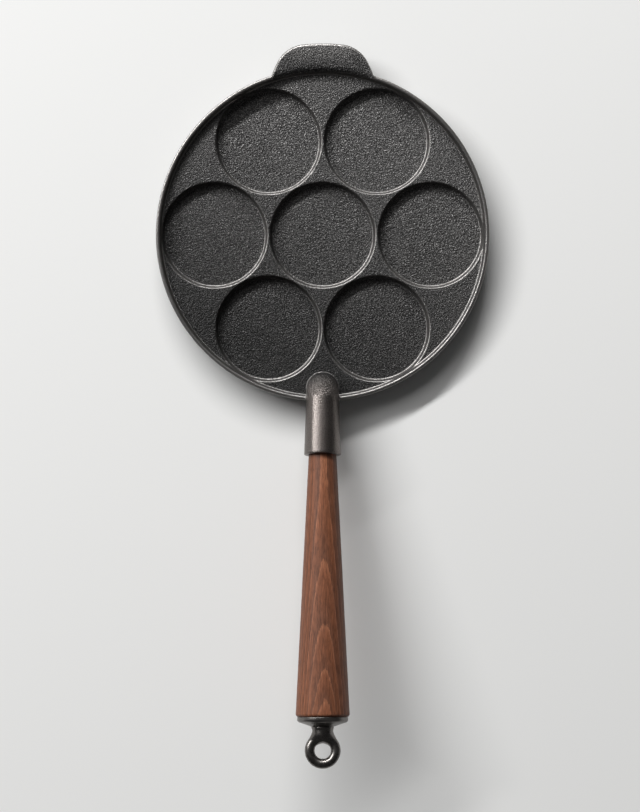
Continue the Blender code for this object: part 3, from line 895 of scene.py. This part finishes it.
def make_eye(sizes, seat):
    """The eye: a ring and a tapped neck, blended by a fillet. Distances are taken in the
    handle's frame, the ring flat in the plane of across and along."""
    centre = seat + sizes.centre_out
    hole = sizes.ring_radius - sizes.stock_radius
    ring_turns = np.linspace(0, math.tau, RING_COLUMNS, endpoint=False)
    stock = np.linspace(0, math.tau, STOCK_ROWS, endpoint=False)[:, None]
    reach = sizes.ring_radius + sizes.stock_radius * np.cos(stock)
    across = reach * np.sin(ring_turns)
    up = np.broadcast_to(sizes.stock_radius * np.sin(stock), across.shape)
    height = centre - reach * np.cos(ring_turns)
    ring = AXIS_START + np.stack([across, up, height], -1) @ np.stack([ACROSS, UPWARD, AXIS])
    ring = np.concatenate([ring, ring[:1]])
    eye = object_of(mesh_of("steel_eye", [ring]))
    middle = centre - hole - sizes.neck_radius + EYE_WEB
    turns = np.linspace(math.pi / 2, 0, NECK_BALL_ROWS)
    ball = np.stack([np.sin(turns), np.cos(turns)], -1) * sizes.neck_radius + [0, middle]
    foot = seat - FIT_GAP + CLOSE_GAP
    corners = [(0, foot, 0), (COLLAR_RADIUS, foot, COLLAR_FOOT_ROUNDING)]
    corners.append((COLLAR_RADIUS, foot + COLLAR_TOP, COLLAR_TOP_ROUNDING))
    corners.append((sizes.neck_radius, foot + COLLAR_END, 0))
    collar = rounded(corners, COLLAR_ARC_POINTS)
    neck = np.concatenate([collar, between(collar[-1], ball[0], NECK_ROWS), ball])
    cut(eye, [lathe("eye_neck", neck)], "UNION")

    def ring_distance(points):
        x, y, z = handle_place(points).T
        return np.hypot(np.hypot(x, z - centre) - sizes.ring_radius, y) - sizes.stock_radius

    def neck_distance(points):
        place = handle_place(points)
        inside_hole = hole + HOLE_TRIM - np.hypot(place[:, 0], place[:, 2] - centre)
        return -rounded_union(-turned_distance(place, neck), -inside_hole, HOLE_ROUNDING)

    def distance(points):
        return rounded_union(ring_distance(points), neck_distance(points), sizes.blend)

    def near(points):
        out = handle_place(points)[:, 2]
        return (out > seat + BLEND_START) & (out < centre + BLEND_END)

    soften(eye.data, near, distance, EYE_EDGE)
    below, tip = seat - OVERRUN, centre - hole - EYE_WEB
    tap = [(0, below), (EYE_TAP_RADIUS, below), (EYE_TAP_RADIUS, tip), (0, tip)]
    cut(eye, [lathe("eye_tap", np.array(tap))], "DIFFERENCE")
    return eye


def make_rod(end):
    """The rod as a grid of height and turn: its radius is a flat-crested V of the height less a
    pitch for each full turn, where it is threaded, and the shank's radius elsewhere."""
    start = bore_floor() - ROOT_THREAD_LENGTH + ROD_END_GAP
    root_end, eye_start = bore_floor() + THREAD_PITCH, end - EYE_THREAD_LENGTH
    row = THREAD_PITCH / THREAD_ROWS_PER_TURN
    lower = np.arange(start, root_end + THREAD_PITCH, row)
    upper = np.arange(eye_start - THREAD_PITCH, end, row)
    shank = between(lower[-1], upper[0], SHANK_ROWS)
    heights = np.concatenate([lower, shank, upper, [end]])[:, None]
    turns = np.linspace(0, math.tau, THREAD_COLUMNS, endpoint=False)
    phase = (heights / THREAD_PITCH - turns / math.tau) % 1
    crest = np.clip(THREAD_FULLNESS * (1 - np.abs(2 * phase - 1)), 0, 1)
    threaded = THREAD_RADIUS - THREAD_DEPTH * (1 - crest)
    run_in = smooth_step(root_end, root_end - THREAD_PITCH, heights)
    run_in = run_in + smooth_step(eye_start, eye_start + THREAD_PITCH, heights)
    radii = SHANK_RADIUS + (threaded - SHANK_RADIUS) * run_in
    chamfer = np.minimum(heights - start, end - heights)
    radii = np.minimum(radii, THREAD_RADIUS - THREAD_DEPTH + chamfer)
    heights = np.broadcast_to(heights, radii.shape)
    grid = along(radii, heights, np.broadcast_to(turns, radii.shape))
    ends = [AXIS_START + place * AXIS for place in (start, end)]
    return object_of(mesh_of("threaded_rod", [grid], [(0, 0, ends[0]), (0, -1, ends[1])]))


class Nodes:
    """Adds nodes to a tree. An input is a value, or an output to link to."""

    def __init__(self, tree):
        self.tree = tree

    def add(self, kind, inputs=None, **settings):
        node = self.tree.nodes.new(kind)
        for name, value in settings.items():
            setattr(node, name, value)
        for name, value in (inputs or {}).items():
            socket = node.inputs[name]
            if isinstance(value, bpy.types.NodeSocket):
                self.tree.links.new(value, socket)
            else:
                socket.default_value = value
        return node

    def maths(self, operation, *values, clamp=False):
        inputs = dict(enumerate(values))
        return self.add("ShaderNodeMath", inputs, operation=operation, use_clamp=clamp).outputs[0]

    def mix(self, factor, first, second):
        node = self.add("ShaderNodeMix", {0: factor}, data_type="RGBA")
        for name, value in ((6, first), (7, second)):
            if isinstance(value, bpy.types.NodeSocket):
                self.tree.links.new(value, node.inputs[name])
            else:
                node.inputs[name].default_value = (*value, 1)
        return node.outputs[2]

    def multiplied(self, first, second):
        """One colour or grey times another."""
        settings = {"data_type": "RGBA", "blend_type": "MULTIPLY"}
        return self.add("ShaderNodeMix", {0: 1.0, 6: first, 7: second}, **settings).outputs[2]

    def placed(self, group, inputs):
        """The outputs of a node group placed in this tree."""
        return self.add("ShaderNodeGroup", inputs, node_tree=group).outputs

    def attribute(self, name):
        return self.add("ShaderNodeAttribute", attribute_name=name).outputs["Fac"]

    def drawn_out(self, vector, share):
        """A vector whose patterns come out longer along Z, by one over the share."""
        return self.add("ShaderNodeMapping", {"Vector": vector, "Scale": (1, 1, share)}).outputs[0]

    def bump(self, height, distance, strength=1.0):
        inputs = {"Strength": strength, "Distance": distance, "Height": height}
        return self.add("ShaderNodeBump", inputs).outputs["Normal"]

    def ramp(self, factor, stops):
        """A colour ramp through stops (place, grey or colour)."""
        node = self.add("ShaderNodeValToRGB", {0: factor})
        band = node.color_ramp.elements
        for i, (place, value) in enumerate(stops):
            stop = band[i] if i < 2 else band.new(place)
            stop.position = place
            stop.color = (*value, 1) if isinstance(value, tuple) else (value, value, value, 1)
        return node.outputs[0]

    def noise(self, vector, scale, detail, roughness):
        inputs = {"Vector": vector, "Scale": scale, "Detail": detail, "Roughness": roughness}
        return self.add("ShaderNodeTexNoise", inputs).outputs["Fac"]


def link(nodes, output, node, name):
    nodes.tree.links.new(output, node.inputs[name])


def toned(colour_parts, share):
    return tuple(share * part for part in colour_parts)


def new_group(name, inputs, outputs):
    """A shader node group with named sockets. Returns it with its input and output nodes."""
    group = bpy.data.node_groups.new(name, "ShaderNodeTree")
    for socket, kind, default in inputs:
        made = group.interface.new_socket(socket, in_out="INPUT", socket_type=kind)
        if default is not None:
            made.default_value = default
    for socket, kind in outputs:
        group.interface.new_socket(socket, in_out="OUTPUT", socket_type=kind)
    nodes = Nodes(group)
    return nodes, nodes.add("NodeGroupInput"), nodes.add("NodeGroupOutput")


# The sand's grains: noise scales, coarse and fine, the coarse ones' share of the height, and the
# stops of the fine noise between which grains shine and pits are dark
GRAIN_SCALES = (950.0, 1500.0)
COARSE_SHARE = 0.6
FLECK_STOPS = [(0.52, 0.0), (0.68, 1.0)]
PIT_STOPS = [(0.30, 1.0), (0.46, 0.0)]

# Smudges: the slow patches' share, how much finer the quick ones are, and the stops of their sum
SLOW_SHARE = 0.7
QUICK_SCALE = 5.0
PATCH_STOPS = [(0.36, 0.0), (0.64, 1.0)]


def cast_grain_group():
    """The skin that sand leaves on a casting: the height of its grains about a middle of 0, the
    grains that shine and the pits between them."""
    group = bpy.data.node_groups.get("Cast Grain")
    if group:
        return group
    nodes, given, made = new_group(
        "Cast Grain",
        [("Vector", "NodeSocketVector", None), ("Grain Scale", "NodeSocketFloat", 1.0)],
        [("Height", "NodeSocketFloat"), ("Fleck", "NodeSocketFloat"), ("Pit", "NodeSocketFloat")],
    )
    vector, scale = given.outputs["Vector"], given.outputs["Grain Scale"]
    scales = [nodes.maths("MULTIPLY", scale, grain) for grain in GRAIN_SCALES]
    coarse, fine = [nodes.noise(vector, grain, detail=1.0, roughness=0.5) for grain in scales]
    fine_part = nodes.maths("MULTIPLY", fine, 1 - COARSE_SHARE)
    height = nodes.maths("MULTIPLY_ADD", coarse, COARSE_SHARE, fine_part)
    link(nodes, nodes.maths("SUBTRACT", height, 0.5), made, "Height")
    link(nodes, nodes.ramp(fine, FLECK_STOPS), made, "Fleck")
    link(nodes, nodes.ramp(fine, PIT_STOPS), made, "Pit")
    return nodes.tree


def smudge_group():
    """Slow patches of handling, oil and heat, from 0 to 1 about a middle of one half."""
    group = bpy.data.node_groups.get("Smudges")
    if group:
        return group
    nodes, given, made = new_group(
        "Smudges",
        [("Vector", "NodeSocketVector", None), ("Patch Scale", "NodeSocketFloat", 40.0)],
        [("Patches", "NodeSocketFloat")],
    )
    vector, scale = given.outputs["Vector"], given.outputs["Patch Scale"]
    slow = nodes.noise(vector, scale, detail=3.0, roughness=0.55)
    quick_scale = nodes.maths("MULTIPLY", scale, QUICK_SCALE)
    quick = nodes.noise(vector, quick_scale, detail=2.0, roughness=0.6)
    quick_part = nodes.maths("MULTIPLY", quick, 1 - SLOW_SHARE)
    patches = nodes.maths("MULTIPLY_ADD", slow, SLOW_SHARE, quick_part)
    link(nodes, nodes.ramp(patches, PATCH_STOPS), made, "Patches")
    return nodes.tree


def new_material(name):
    made = bpy.data.materials.get(name)
    if made:
        bpy.data.materials.remove(made)
    made = bpy.data.materials.new(name)
    made.use_nodes = True
    nodes = Nodes(made.node_tree)
    return made, nodes, made.node_tree.nodes["Principled BSDF"]


def object_vector(nodes):
    return nodes.add("ShaderNodeTexCoord").outputs["Object"]


# How much the iron's skin stands up, how rough and how metallic its faces are, and how dark the
# patches and the pits in it are
GRAIN_RELIEF = 0.0014
PLATE_ROUGHNESS = 0.42
WORN_ROUGHNESS = 0.34
SOCKET_ROUGHNESS = 0.40
PLATE_METAL = 0.6
WORN_METAL = 0.95
SOCKET_RELIEF_SHARE = 0.9
WORN_RELIEF_SHARE = 0.2
PIT_SHARE = 0.75
IRON_PATCH_SCALE = 30.0
IRON_PATCH_TONE = 0.86
IRON_PATCH_ROUGHNESS = 0.05
PLATE_PIT_TONE = 0.3
SOCKET_PIT_TONE = 0.45

# Painted light: how light the plate is painted at its middle, how much lighter per metre towards
# +X and +Y, at its least and its most, and the painted shade that darkens the tab, which starts
# between two places along Y
MIDDLE_TONE = 0.8
PAINTED_LIGHT_SLOPES = (2.2, 5.2)
TONE_RANGE = (0.3, 1.2)
TAB_PAINTED_SHADE = 0.6
TAB_START = (PAN_RADIUS - 0.004, PAN_RADIUS - 0.002)


def painted_light_falloff(nodes, vector):
    """Painted light: a plain slope over the plate that makes it lighter towards +X and +Y, held
    within its range, times the painted shade on the tab.
    """
    x, y, _ = nodes.add("ShaderNodeSeparateXYZ", {0: vector}).outputs
    tone = nodes.maths("MULTIPLY_ADD", x, PAINTED_LIGHT_SLOPES[0], MIDDLE_TONE)
    tone = nodes.maths("MULTIPLY_ADD", y, PAINTED_LIGHT_SLOPES[1], tone)
    tone = nodes.maths("MINIMUM", nodes.maths("MAXIMUM", tone, TONE_RANGE[0]), TONE_RANGE[1])
    inputs = {"Value": y, "From Min": TAB_START[0], "From Max": TAB_START[1], "To Min": 1.0}
    tab = nodes.add("ShaderNodeMapRange", {**inputs, "To Max": TAB_PAINTED_SHADE}).outputs[0]
    return nodes.maths("MULTIPLY", tone, tab)


def iron_material(finishes):
    """Seasoned sand-cast iron: rough and grained on the plate, with painted light that makes it
    lighter towards +X and +Y and a painted shade on the tab, smooth and brighter on worn walls and
    crests, with a painted highlight that makes the walls facing the light brightest, and burnished
    brown-grey on the socket."""
    made, nodes, shader = new_material("cast iron")
    vector = object_vector(nodes)
    grain = nodes.placed(cast_grain_group(), {"Vector": vector})
    smudges = {"Vector": vector, "Patch Scale": IRON_PATCH_SCALE}
    patches = nodes.placed(smudge_group(), smudges)["Patches"]
    polish, wear_and_highlight = nodes.attribute("polish"), nodes.attribute("wear_and_highlight")
    unworn = nodes.maths("MULTIPLY_ADD", wear_and_highlight, WORN_RELIEF_SHARE - 1, 1.0)
    unpolished = nodes.maths("MULTIPLY_ADD", polish, SOCKET_RELIEF_SHARE - 1, 1.0)
    rugged = nodes.maths("MULTIPLY", unworn, unpolished)
    pit = nodes.maths("MULTIPLY", grain["Pit"], PIT_SHARE)

    iron = tuple(finishes.iron)
    plate = nodes.mix(patches, toned(iron, IRON_PATCH_TONE), iron)
    plate = nodes.mix(pit, plate, toned(iron, PLATE_PIT_TONE))
    plate = nodes.mix(grain["Fleck"], plate, tuple(finishes.iron_fleck))
    # Painted light: the plate is lighter towards +X and +Y, with painted shade on the tab.
    plate = nodes.multiplied(plate, painted_light_falloff(nodes, vector))
    # Worn iron where the casting is rubbed smooth, and a painted highlight: brightest on the walls
    # that face the light.
    plate = nodes.mix(wear_and_highlight, plate, tuple(finishes.worn_iron))
    brown = tuple(finishes.socket_iron)
    socket = nodes.mix(pit, brown, toned(brown, SOCKET_PIT_TONE))
    link(nodes, nodes.mix(polish, plate, socket), shader, "Base Color")

    metal = nodes.maths("MULTIPLY_ADD", wear_and_highlight, WORN_METAL - PLATE_METAL, PLATE_METAL)
    link(nodes, nodes.maths("MAXIMUM", metal, polish), shader, "Metallic")
    rough = nodes.maths("MULTIPLY_ADD", patches, IRON_PATCH_ROUGHNESS, PLATE_ROUGHNESS)
    rough = nodes.maths("MULTIPLY_ADD", wear_and_highlight, WORN_ROUGHNESS - PLATE_ROUGHNESS, rough)
    rough = nodes.maths("MULTIPLY_ADD", polish, SOCKET_ROUGHNESS - PLATE_ROUGHNESS, rough)
    link(nodes, rough, shader, "Roughness")
    height = nodes.maths("MULTIPLY", grain["Height"], rugged)
    link(nodes, nodes.bump(height, GRAIN_RELIEF), shader, "Normal")
    return made


# Depths of the growth lines from the grip's axis, in metres, towards the side that shows; the
# distance and lean of the heart of the tree behind them; and how they dip towards the neck
RING_DEPTHS = (-0.0195, -0.0168, -0.0142, -0.0117, -0.0093, -0.0069, -0.0046, -0.0023, 0.0)
RING_DEPTHS += (0.0023, 0.0046, 0.0068, 0.0090, 0.01117, 0.0132, 0.0152, 0.0167, 0.0176, 0.0195)
HEART_DISTANCE = 0.054
HEART_LEAN = math.radians(4)
NECK_DIP = 0.00175
NECK_DIP_REACH = 0.027
FIBRE_JAG = 0.0004
RING_SWAY = 0.0009

# Where each tone of a growth ring stands between its two lines
RING_PLACES = (0.0, 0.06, 0.16, 0.55, 0.93, 1.0)
RING_BODY_TONE = 0.86

# The wood's noises: how much shorter they are across the grain than along it, and their scales
FIBRE_SHARE, FIBRE_SCALE = 0.035, 1500.0
DRIFT_SHARE, SWAY_SCALE, PATCH_SCALE = 0.12, 90.0, 60.0
PORE_LENGTH_SHARE, MOTTLE_SCALE, PORE_SCALE = 0.16, 1000.0, 2400.0

# What they do to the wood's tone, its roughness and its surface
PATCH_TINTS = ((0.86, 0.87, 0.90), (1.1, 1.06, 1.0))
FIBRE_TONES = [(0.3, 0.74), (0.7, 1.2)]
MOTTLE_TONES = [(0.34, 0.80), (0.66, 1.2)]
PORE_STOPS = [(0.60, 0.0), (0.70, 1.0)]
PORE_SHARE = 0.4
PORE_DEPTH = -0.6
WOOD_ROUGHNESS, FIBRE_ROUGHNESS = 0.42, 0.16
WOOD_RELIEF, WOOD_RELIEF_STRENGTH = 0.00012, 0.5


def growth_rings(nodes, local, fibre, sway):
    """How far each point lies from one growth line to the next: its distance from the heart's
    line less the heart's own, dipping towards the neck, jagged by the fibre and swayed, is
    turned into a count of lines by a curve through their depths."""
    parts = nodes.add("ShaderNodeSeparateXYZ", {0: local})
    heart = (-HEART_DISTANCE * math.sin(HEART_LEAN), -HEART_DISTANCE * math.cos(HEART_LEAN))
    x = nodes.maths("SUBTRACT", parts.outputs[0], heart[0])
    y = nodes.maths("SUBTRACT", parts.outputs[1], heart[1])
    squared = nodes.maths("MULTIPLY_ADD", x, x, nodes.maths("MULTIPLY", y, y))
    depth = nodes.maths("SUBTRACT", nodes.maths("SQRT", squared), HEART_DISTANCE)
    from_neck = nodes.maths("SUBTRACT", parts.outputs[2], socket_mouth())
    dip = nodes.maths("EXPONENT", nodes.maths("DIVIDE", from_neck, -NECK_DIP_REACH))
    depth = nodes.maths("MULTIPLY_ADD", dip, NECK_DIP, depth)
    depth = nodes.maths("MULTIPLY_ADD", fibre, FIBRE_JAG, depth)
    depth = nodes.maths("MULTIPLY_ADD", sway, RING_SWAY, depth)
    depth = nodes.maths("SUBTRACT", depth, (FIBRE_JAG + RING_SWAY) / 2)
    low, high, last = RING_DEPTHS[0], RING_DEPTHS[-1], len(RING_DEPTHS) - 1
    level = nodes.maths("DIVIDE", nodes.maths("SUBTRACT", depth, low), high - low, clamp=True)
    curve = nodes.add("ShaderNodeFloatCurve", {"Value": level})
    line = curve.mapping.curves[0]
    for i, ring in enumerate(RING_DEPTHS[1:-1], 1):
        line.points.new((ring - low) / (high - low), i / last)
    for spot in line.points:
        spot.handle_type = "VECTOR"
    curve.mapping.update()
    return nodes.maths("FRACT", nodes.maths("MULTIPLY", curve.outputs[0], float(last)))


def walnut_material(finishes):
    """Oiled walnut. The growth rings are cylinders about a line behind the grip, and the cone
    cuts across them, which gives the pointed figure along its top."""
    made, nodes, shader = new_material("walnut")
    turn_back = Euler((-(math.pi / 2 - RISE), 0, 0))
    place = turn_back.to_matrix() @ Vector(-AXIS_START)
    mapping = {"Vector": object_vector(nodes), "Location": place, "Rotation": turn_back}
    local = nodes.add("ShaderNodeMapping", mapping).outputs[0]
    strands, drift = nodes.drawn_out(local, FIBRE_SHARE), nodes.drawn_out(local, DRIFT_SHARE)
    fibre = nodes.noise(strands, FIBRE_SCALE, detail=2.0, roughness=0.6)
    sway = nodes.noise(drift, SWAY_SCALE, detail=2.0, roughness=0.5)
    light, mid, dark = tuple(finishes.wood_light), tuple(finishes.wood_mid), tuple(finishes.wood_dark)
    tones = (light, light, mid, toned(mid, RING_BODY_TONE), dark, dark)
    ring = growth_rings(nodes, local, fibre, sway)
    wood = nodes.ramp(ring, list(zip(RING_PLACES, tones)))
    smudges = {"Vector": drift, "Patch Scale": PATCH_SCALE}
    patches = nodes.placed(smudge_group(), smudges)["Patches"]
    wood = nodes.multiplied(wood, nodes.mix(patches, *PATCH_TINTS))
    wood = nodes.multiplied(wood, nodes.ramp(fibre, FIBRE_TONES))
    drawn = nodes.drawn_out(local, PORE_LENGTH_SHARE)
    mottle = nodes.noise(drawn, MOTTLE_SCALE, detail=2.0, roughness=0.6)
    wood = nodes.multiplied(wood, nodes.ramp(mottle, MOTTLE_TONES))
    dots = nodes.noise(drawn, PORE_SCALE, detail=1.0, roughness=0.5)
    pores = nodes.ramp(dots, PORE_STOPS)
    wood = nodes.mix(nodes.maths("MULTIPLY", pores, PORE_SHARE), wood, tuple(finishes.wood_pore))
    link(nodes, wood, shader, "Base Color")
    rough = nodes.maths("MULTIPLY_ADD", fibre, FIBRE_ROUGHNESS, WOOD_ROUGHNESS)
    link(nodes, rough, shader, "Roughness")
    height = nodes.maths("MULTIPLY_ADD", pores, PORE_DEPTH, fibre)
    link(nodes, nodes.bump(height, WOOD_RELIEF, WOOD_RELIEF_STRENGTH), shader, "Normal")
    shader.inputs["Coat Weight"].default_value = finishes.sheen
    shader.inputs["Coat Roughness"].default_value = 0.4
    shader.inputs["Specular IOR Level"].default_value = 0.2
    return made


# Steel: how fine its skin and its patches are, and what they do to its tone and roughness
STEEL_GRAIN_SCALE = 1.6
STEEL_PATCH_SCALE = 120.0
STEEL_PATCH_TONE = 0.7
STEEL_PATCH_ROUGHNESS = 0.1
STEEL_FLECK_ROUGHNESS = -0.05
STEEL_RELIEF = 0.00003
ZINC_RELIEF = 0.00001


def steel_material(name, tone, roughness, relief):
    """Steel with slow darker patches and a fine skin."""
    made, nodes, shader = new_material(name)
    vector = object_vector(nodes)
    skin = {"Vector": vector, "Grain Scale": STEEL_GRAIN_SCALE}
    grain = nodes.placed(cast_grain_group(), skin)
    smudges = {"Vector": vector, "Patch Scale": STEEL_PATCH_SCALE}
    patches = nodes.placed(smudge_group(), smudges)["Patches"]
    base = nodes.mix(patches, toned(tone, STEEL_PATCH_TONE), tuple(tone))
    link(nodes, base, shader, "Base Color")
    rough = nodes.maths("MULTIPLY_ADD", patches, STEEL_PATCH_ROUGHNESS, roughness)
    rough = nodes.maths("MULTIPLY_ADD", grain["Fleck"], STEEL_FLECK_ROUGHNESS, rough)
    link(nodes, rough, shader, "Roughness")
    shader.inputs["Metallic"].default_value = 1.0
    link(nodes, nodes.bump(grain["Height"], relief), shader, "Normal")
    return made


def cap_foot(scene):
    """Where the grip's thick end is, along the handle."""
    return socket_mouth() + scene.pancake_grip.grip_length


def eye_seat(scene):
    """Where the eye's collar sits on the cap, along the handle."""
    return cap_foot(scene) + 2 * FIT_GAP + scene.pancake_eye.cap_height


class Step:
    """What every operator here shares."""

    bl_options = {"REGISTER", "UNDO"}


class PANCAKE_OT_casting(Step, bpy.types.Operator):
    """Make the cast pan with its recesses, tab and socket"""

    bl_idname = "pancake.casting"
    bl_label = "Cast Pan"

    def execute(self, context):
        casting = make_casting(context.scene.pancake_pan)
        look = iron_material(context.scene.pancake_finish)
        finished(casting, look, "pan", "pan_casting")
        return {"FINISHED"}


class PANCAKE_OT_grip(Step, bpy.types.Operator):
    """Turn the walnut grip"""

    bl_idname = "pancake.grip"
    bl_label = "Walnut Grip"

    def execute(self, context):
        grip = make_grip(context.scene.pancake_grip)
        look = walnut_material(context.scene.pancake_finish)
        finished(grip, look, "pan", "handle_grip")
        return {"FINISHED"}


class PANCAKE_OT_rod(Step, bpy.types.Operator):
    """Thread the tie rod"""

    bl_idname = "pancake.rod"
    bl_label = "Tie Rod"

    def execute(self, context):
        eye, finishes = context.scene.pancake_eye, context.scene.pancake_finish
        to_hole = eye.centre_out - eye.ring_radius + eye.stock_radius
        rod = make_rod(eye_seat(context.scene) + to_hole - EYE_WEB - ROD_END_GAP)
        look = steel_material("zinc steel", finishes.zinc, finishes.zinc_roughness, ZINC_RELIEF)
        finished(rod, look, "pan", "tie_rod")
        return {"FINISHED"}


class PANCAKE_OT_cap(Step, bpy.types.Operator):
    """Make the domed end cap"""

    bl_idname = "pancake.cap"
    bl_label = "End Cap"

    def execute(self, context):
        finishes = context.scene.pancake_finish
        cap = make_cap(context.scene.pancake_eye, cap_foot(context.scene))
        look = steel_material("cap steel", finishes.steel, finishes.cap_roughness, STEEL_RELIEF)
        finished(cap, look, "cap", "end_cap")
        return {"FINISHED"}


class PANCAKE_OT_eye(Step, bpy.types.Operator):
    """Make the hanging eye"""

    bl_idname = "pancake.eye"
    bl_label = "Hanging Eye"

    def execute(self, context):
        finishes = context.scene.pancake_finish
        eye = make_eye(context.scene.pancake_eye, eye_seat(context.scene))
        look = steel_material("eye steel", finishes.steel, finishes.eye_roughness, STEEL_RELIEF)
        finished(eye, look, "eye", "hanging_eye")
        return {"FINISHED"}


class PANCAKE_OT_stage(Step, bpy.types.Operator):
    """Set the floor, the lights, the world and the camera"""

    bl_idname = "pancake.stage"
    bl_label = "Stage"

    def execute(self, context):
        look = context.scene.pancake_stage
        make_floor(look)
        level = 1 - look.fill - look.soft
        make_light("key", level, look, look.key_height, look.key_depth)
        make_light("soft", look.soft, look, look.soft_height, look.soft_depth)
        make_world(look)
        make_camera(look)
        return {"FINISHED"}


# The photograph's frame: 640 by 812 pixels, seen from straight above
PICTURE_HEIGHT = 812
FOCAL_PIXELS = 1900
SENSOR = 36
PAN_CENTRE_PIXELS = (2.6, 171.8)

# The floor's half width, and how far it lies under the base
FLOOR_HALF = 30.0
FLOOR_DROP = 0.0002

# Spots of a lamp, along and across it, whose light on the floor is added up
LAMP_SPOTS = (81, 21)


def make_floor(look):
    """A plain square, far larger than the pan."""
    signs = ((-1, -1), (1, -1), (1, 1), (-1, 1))
    mesh = bpy.data.meshes.new("floor")
    corners = [(FLOOR_HALF * x, FLOOR_HALF * y, -FLOOR_DROP) for x, y in signs]
    mesh.from_pydata(corners, [], [(0, 1, 2, 3)])
    floor = object_of(mesh)
    made, _, shader = new_material("pale floor")
    shader.inputs["Base Color"].default_value = (*look.floor, 1)
    shader.inputs["Roughness"].default_value = 0.9
    shader.inputs["Specular IOR Level"].default_value = 0.1
    mesh.materials.append(made)


def make_light(name, level, look, height, depth):
    """A long level strip of light. Its level is its share of the light on the floor, and all
    shares together are the light at which a colour shows as it is written. A lamp's radiance is
    its power over pi and its area, and each spot of it lights the floor by its height times its
    distance over the fourth power of the way there."""
    wide = 2 * look.light_distance * math.tan(look.span / 2)
    high = 2 * look.light_distance * math.tan(depth / 2)
    flat = math.cos(height)
    back = Vector((flat * math.cos(look.turn), flat * math.sin(look.turn), math.sin(height)))
    along_strip = np.linspace(-wide / 2, wide / 2, LAMP_SPOTS[0])
    across_strip = np.linspace(-high / 2, high / 2, LAMP_SPOTS[1])[:, None]
    above = look.light_distance * math.sin(height) + across_strip * flat
    way = np.sqrt(look.light_distance**2 + along_strip**2 + across_strip**2)
    lamp = bpy.data.lights.new(name, "AREA")
    lamp.shape = "RECTANGLE"
    lamp.size, lamp.size_y = wide, high
    lamp.energy = math.pi**2 * level / (above * look.light_distance / way**4).mean()
    light = bpy.data.objects.new(name, lamp)
    bpy.context.scene.collection.objects.link(light)
    light.location = back * look.light_distance
    light.rotation_euler = back.to_track_quat("Z", "Y").to_euler()


def make_world(look):
    """An even fill from all round."""
    world = bpy.data.worlds.new("studio")
    bpy.context.scene.world = world
    world.use_nodes = True
    background = world.node_tree.nodes["Background"]
    background.inputs["Color"].default_value = (1, 1, 1, 1)
    background.inputs["Strength"].default_value = look.fill


def make_camera(look):
    """Straight down, its foot where the middle of the picture meets the rim's plane."""
    data = bpy.data.cameras.new("camera")
    data.sensor_width = SENSOR
    data.lens = FOCAL_PIXELS * SENSOR / PICTURE_HEIGHT
    camera = bpy.data.objects.new("camera", data)
    bpy.context.scene.collection.objects.link(camera)
    pan = bpy.context.scene.pancake_pan
    per_pixel = (look.camera_height - pan.land_height - pan.rim_height) / FOCAL_PIXELS
    x, y = PAN_CENTRE_PIXELS
    camera.location = (-x * per_pixel, -y * per_pixel, look.camera_height)
    bpy.context.scene.camera = camera
    bpy.context.scene.view_settings.view_transform = "Standard"


class PANCAKE_PT_panel(bpy.types.Panel):
    """The pan's pieces, in the order that they are made"""

    bl_label = "Pancake Pan"
    bl_idname = "PANCAKE_PT_panel"
    bl_space_type = "VIEW_3D"
    bl_region_type = "UI"
    bl_category = "Pancake Pan"

    def draw(self, context):
        layout = self.layout
        for operator in OPERATORS:
            layout.operator(operator.bl_idname)
        for name in GROUPS:
            group = getattr(context.scene, name)
            box = layout.box()
            for part in group.bl_rna.properties:
                if part.identifier not in ("rna_type", "name"):
                    box.prop(group, part.identifier)


GROUPS = {
    "pancake_pan": PanSizes,
    "pancake_grip": GripSizes,
    "pancake_eye": EyeSizes,
    "pancake_finish": Finishes,
    "pancake_stage": StageLook,
}
OPERATORS = (
    PANCAKE_OT_casting,
    PANCAKE_OT_grip,
    PANCAKE_OT_rod,
    PANCAKE_OT_cap,
    PANCAKE_OT_eye,
    PANCAKE_OT_stage,
)


def register():
    for group in GROUPS.values():
        bpy.utils.register_class(group)
    for name, group in GROUPS.items():
        setattr(bpy.types.Scene, name, PointerProperty(type=group))
    for operator in OPERATORS:
        bpy.utils.register_class(operator)
    bpy.utils.register_class(PANCAKE_PT_panel)


def unregister():
    bpy.utils.unregister_class(PANCAKE_PT_panel)
    for operator in reversed(OPERATORS):
        bpy.utils.unregister_class(operator)
    for name, group in reversed(GROUPS.items()):
        delattr(bpy.types.Scene, name)
        bpy.utils.unregister_class(group)


def main():
    register()
    bpy.ops.pancake.casting()
    bpy.ops.pancake.grip()
    bpy.ops.pancake.rod()
    bpy.ops.pancake.cap()
    bpy.ops.pancake.eye()
    bpy.ops.pancake.stage()


if __name__ == "__main__":
    main()
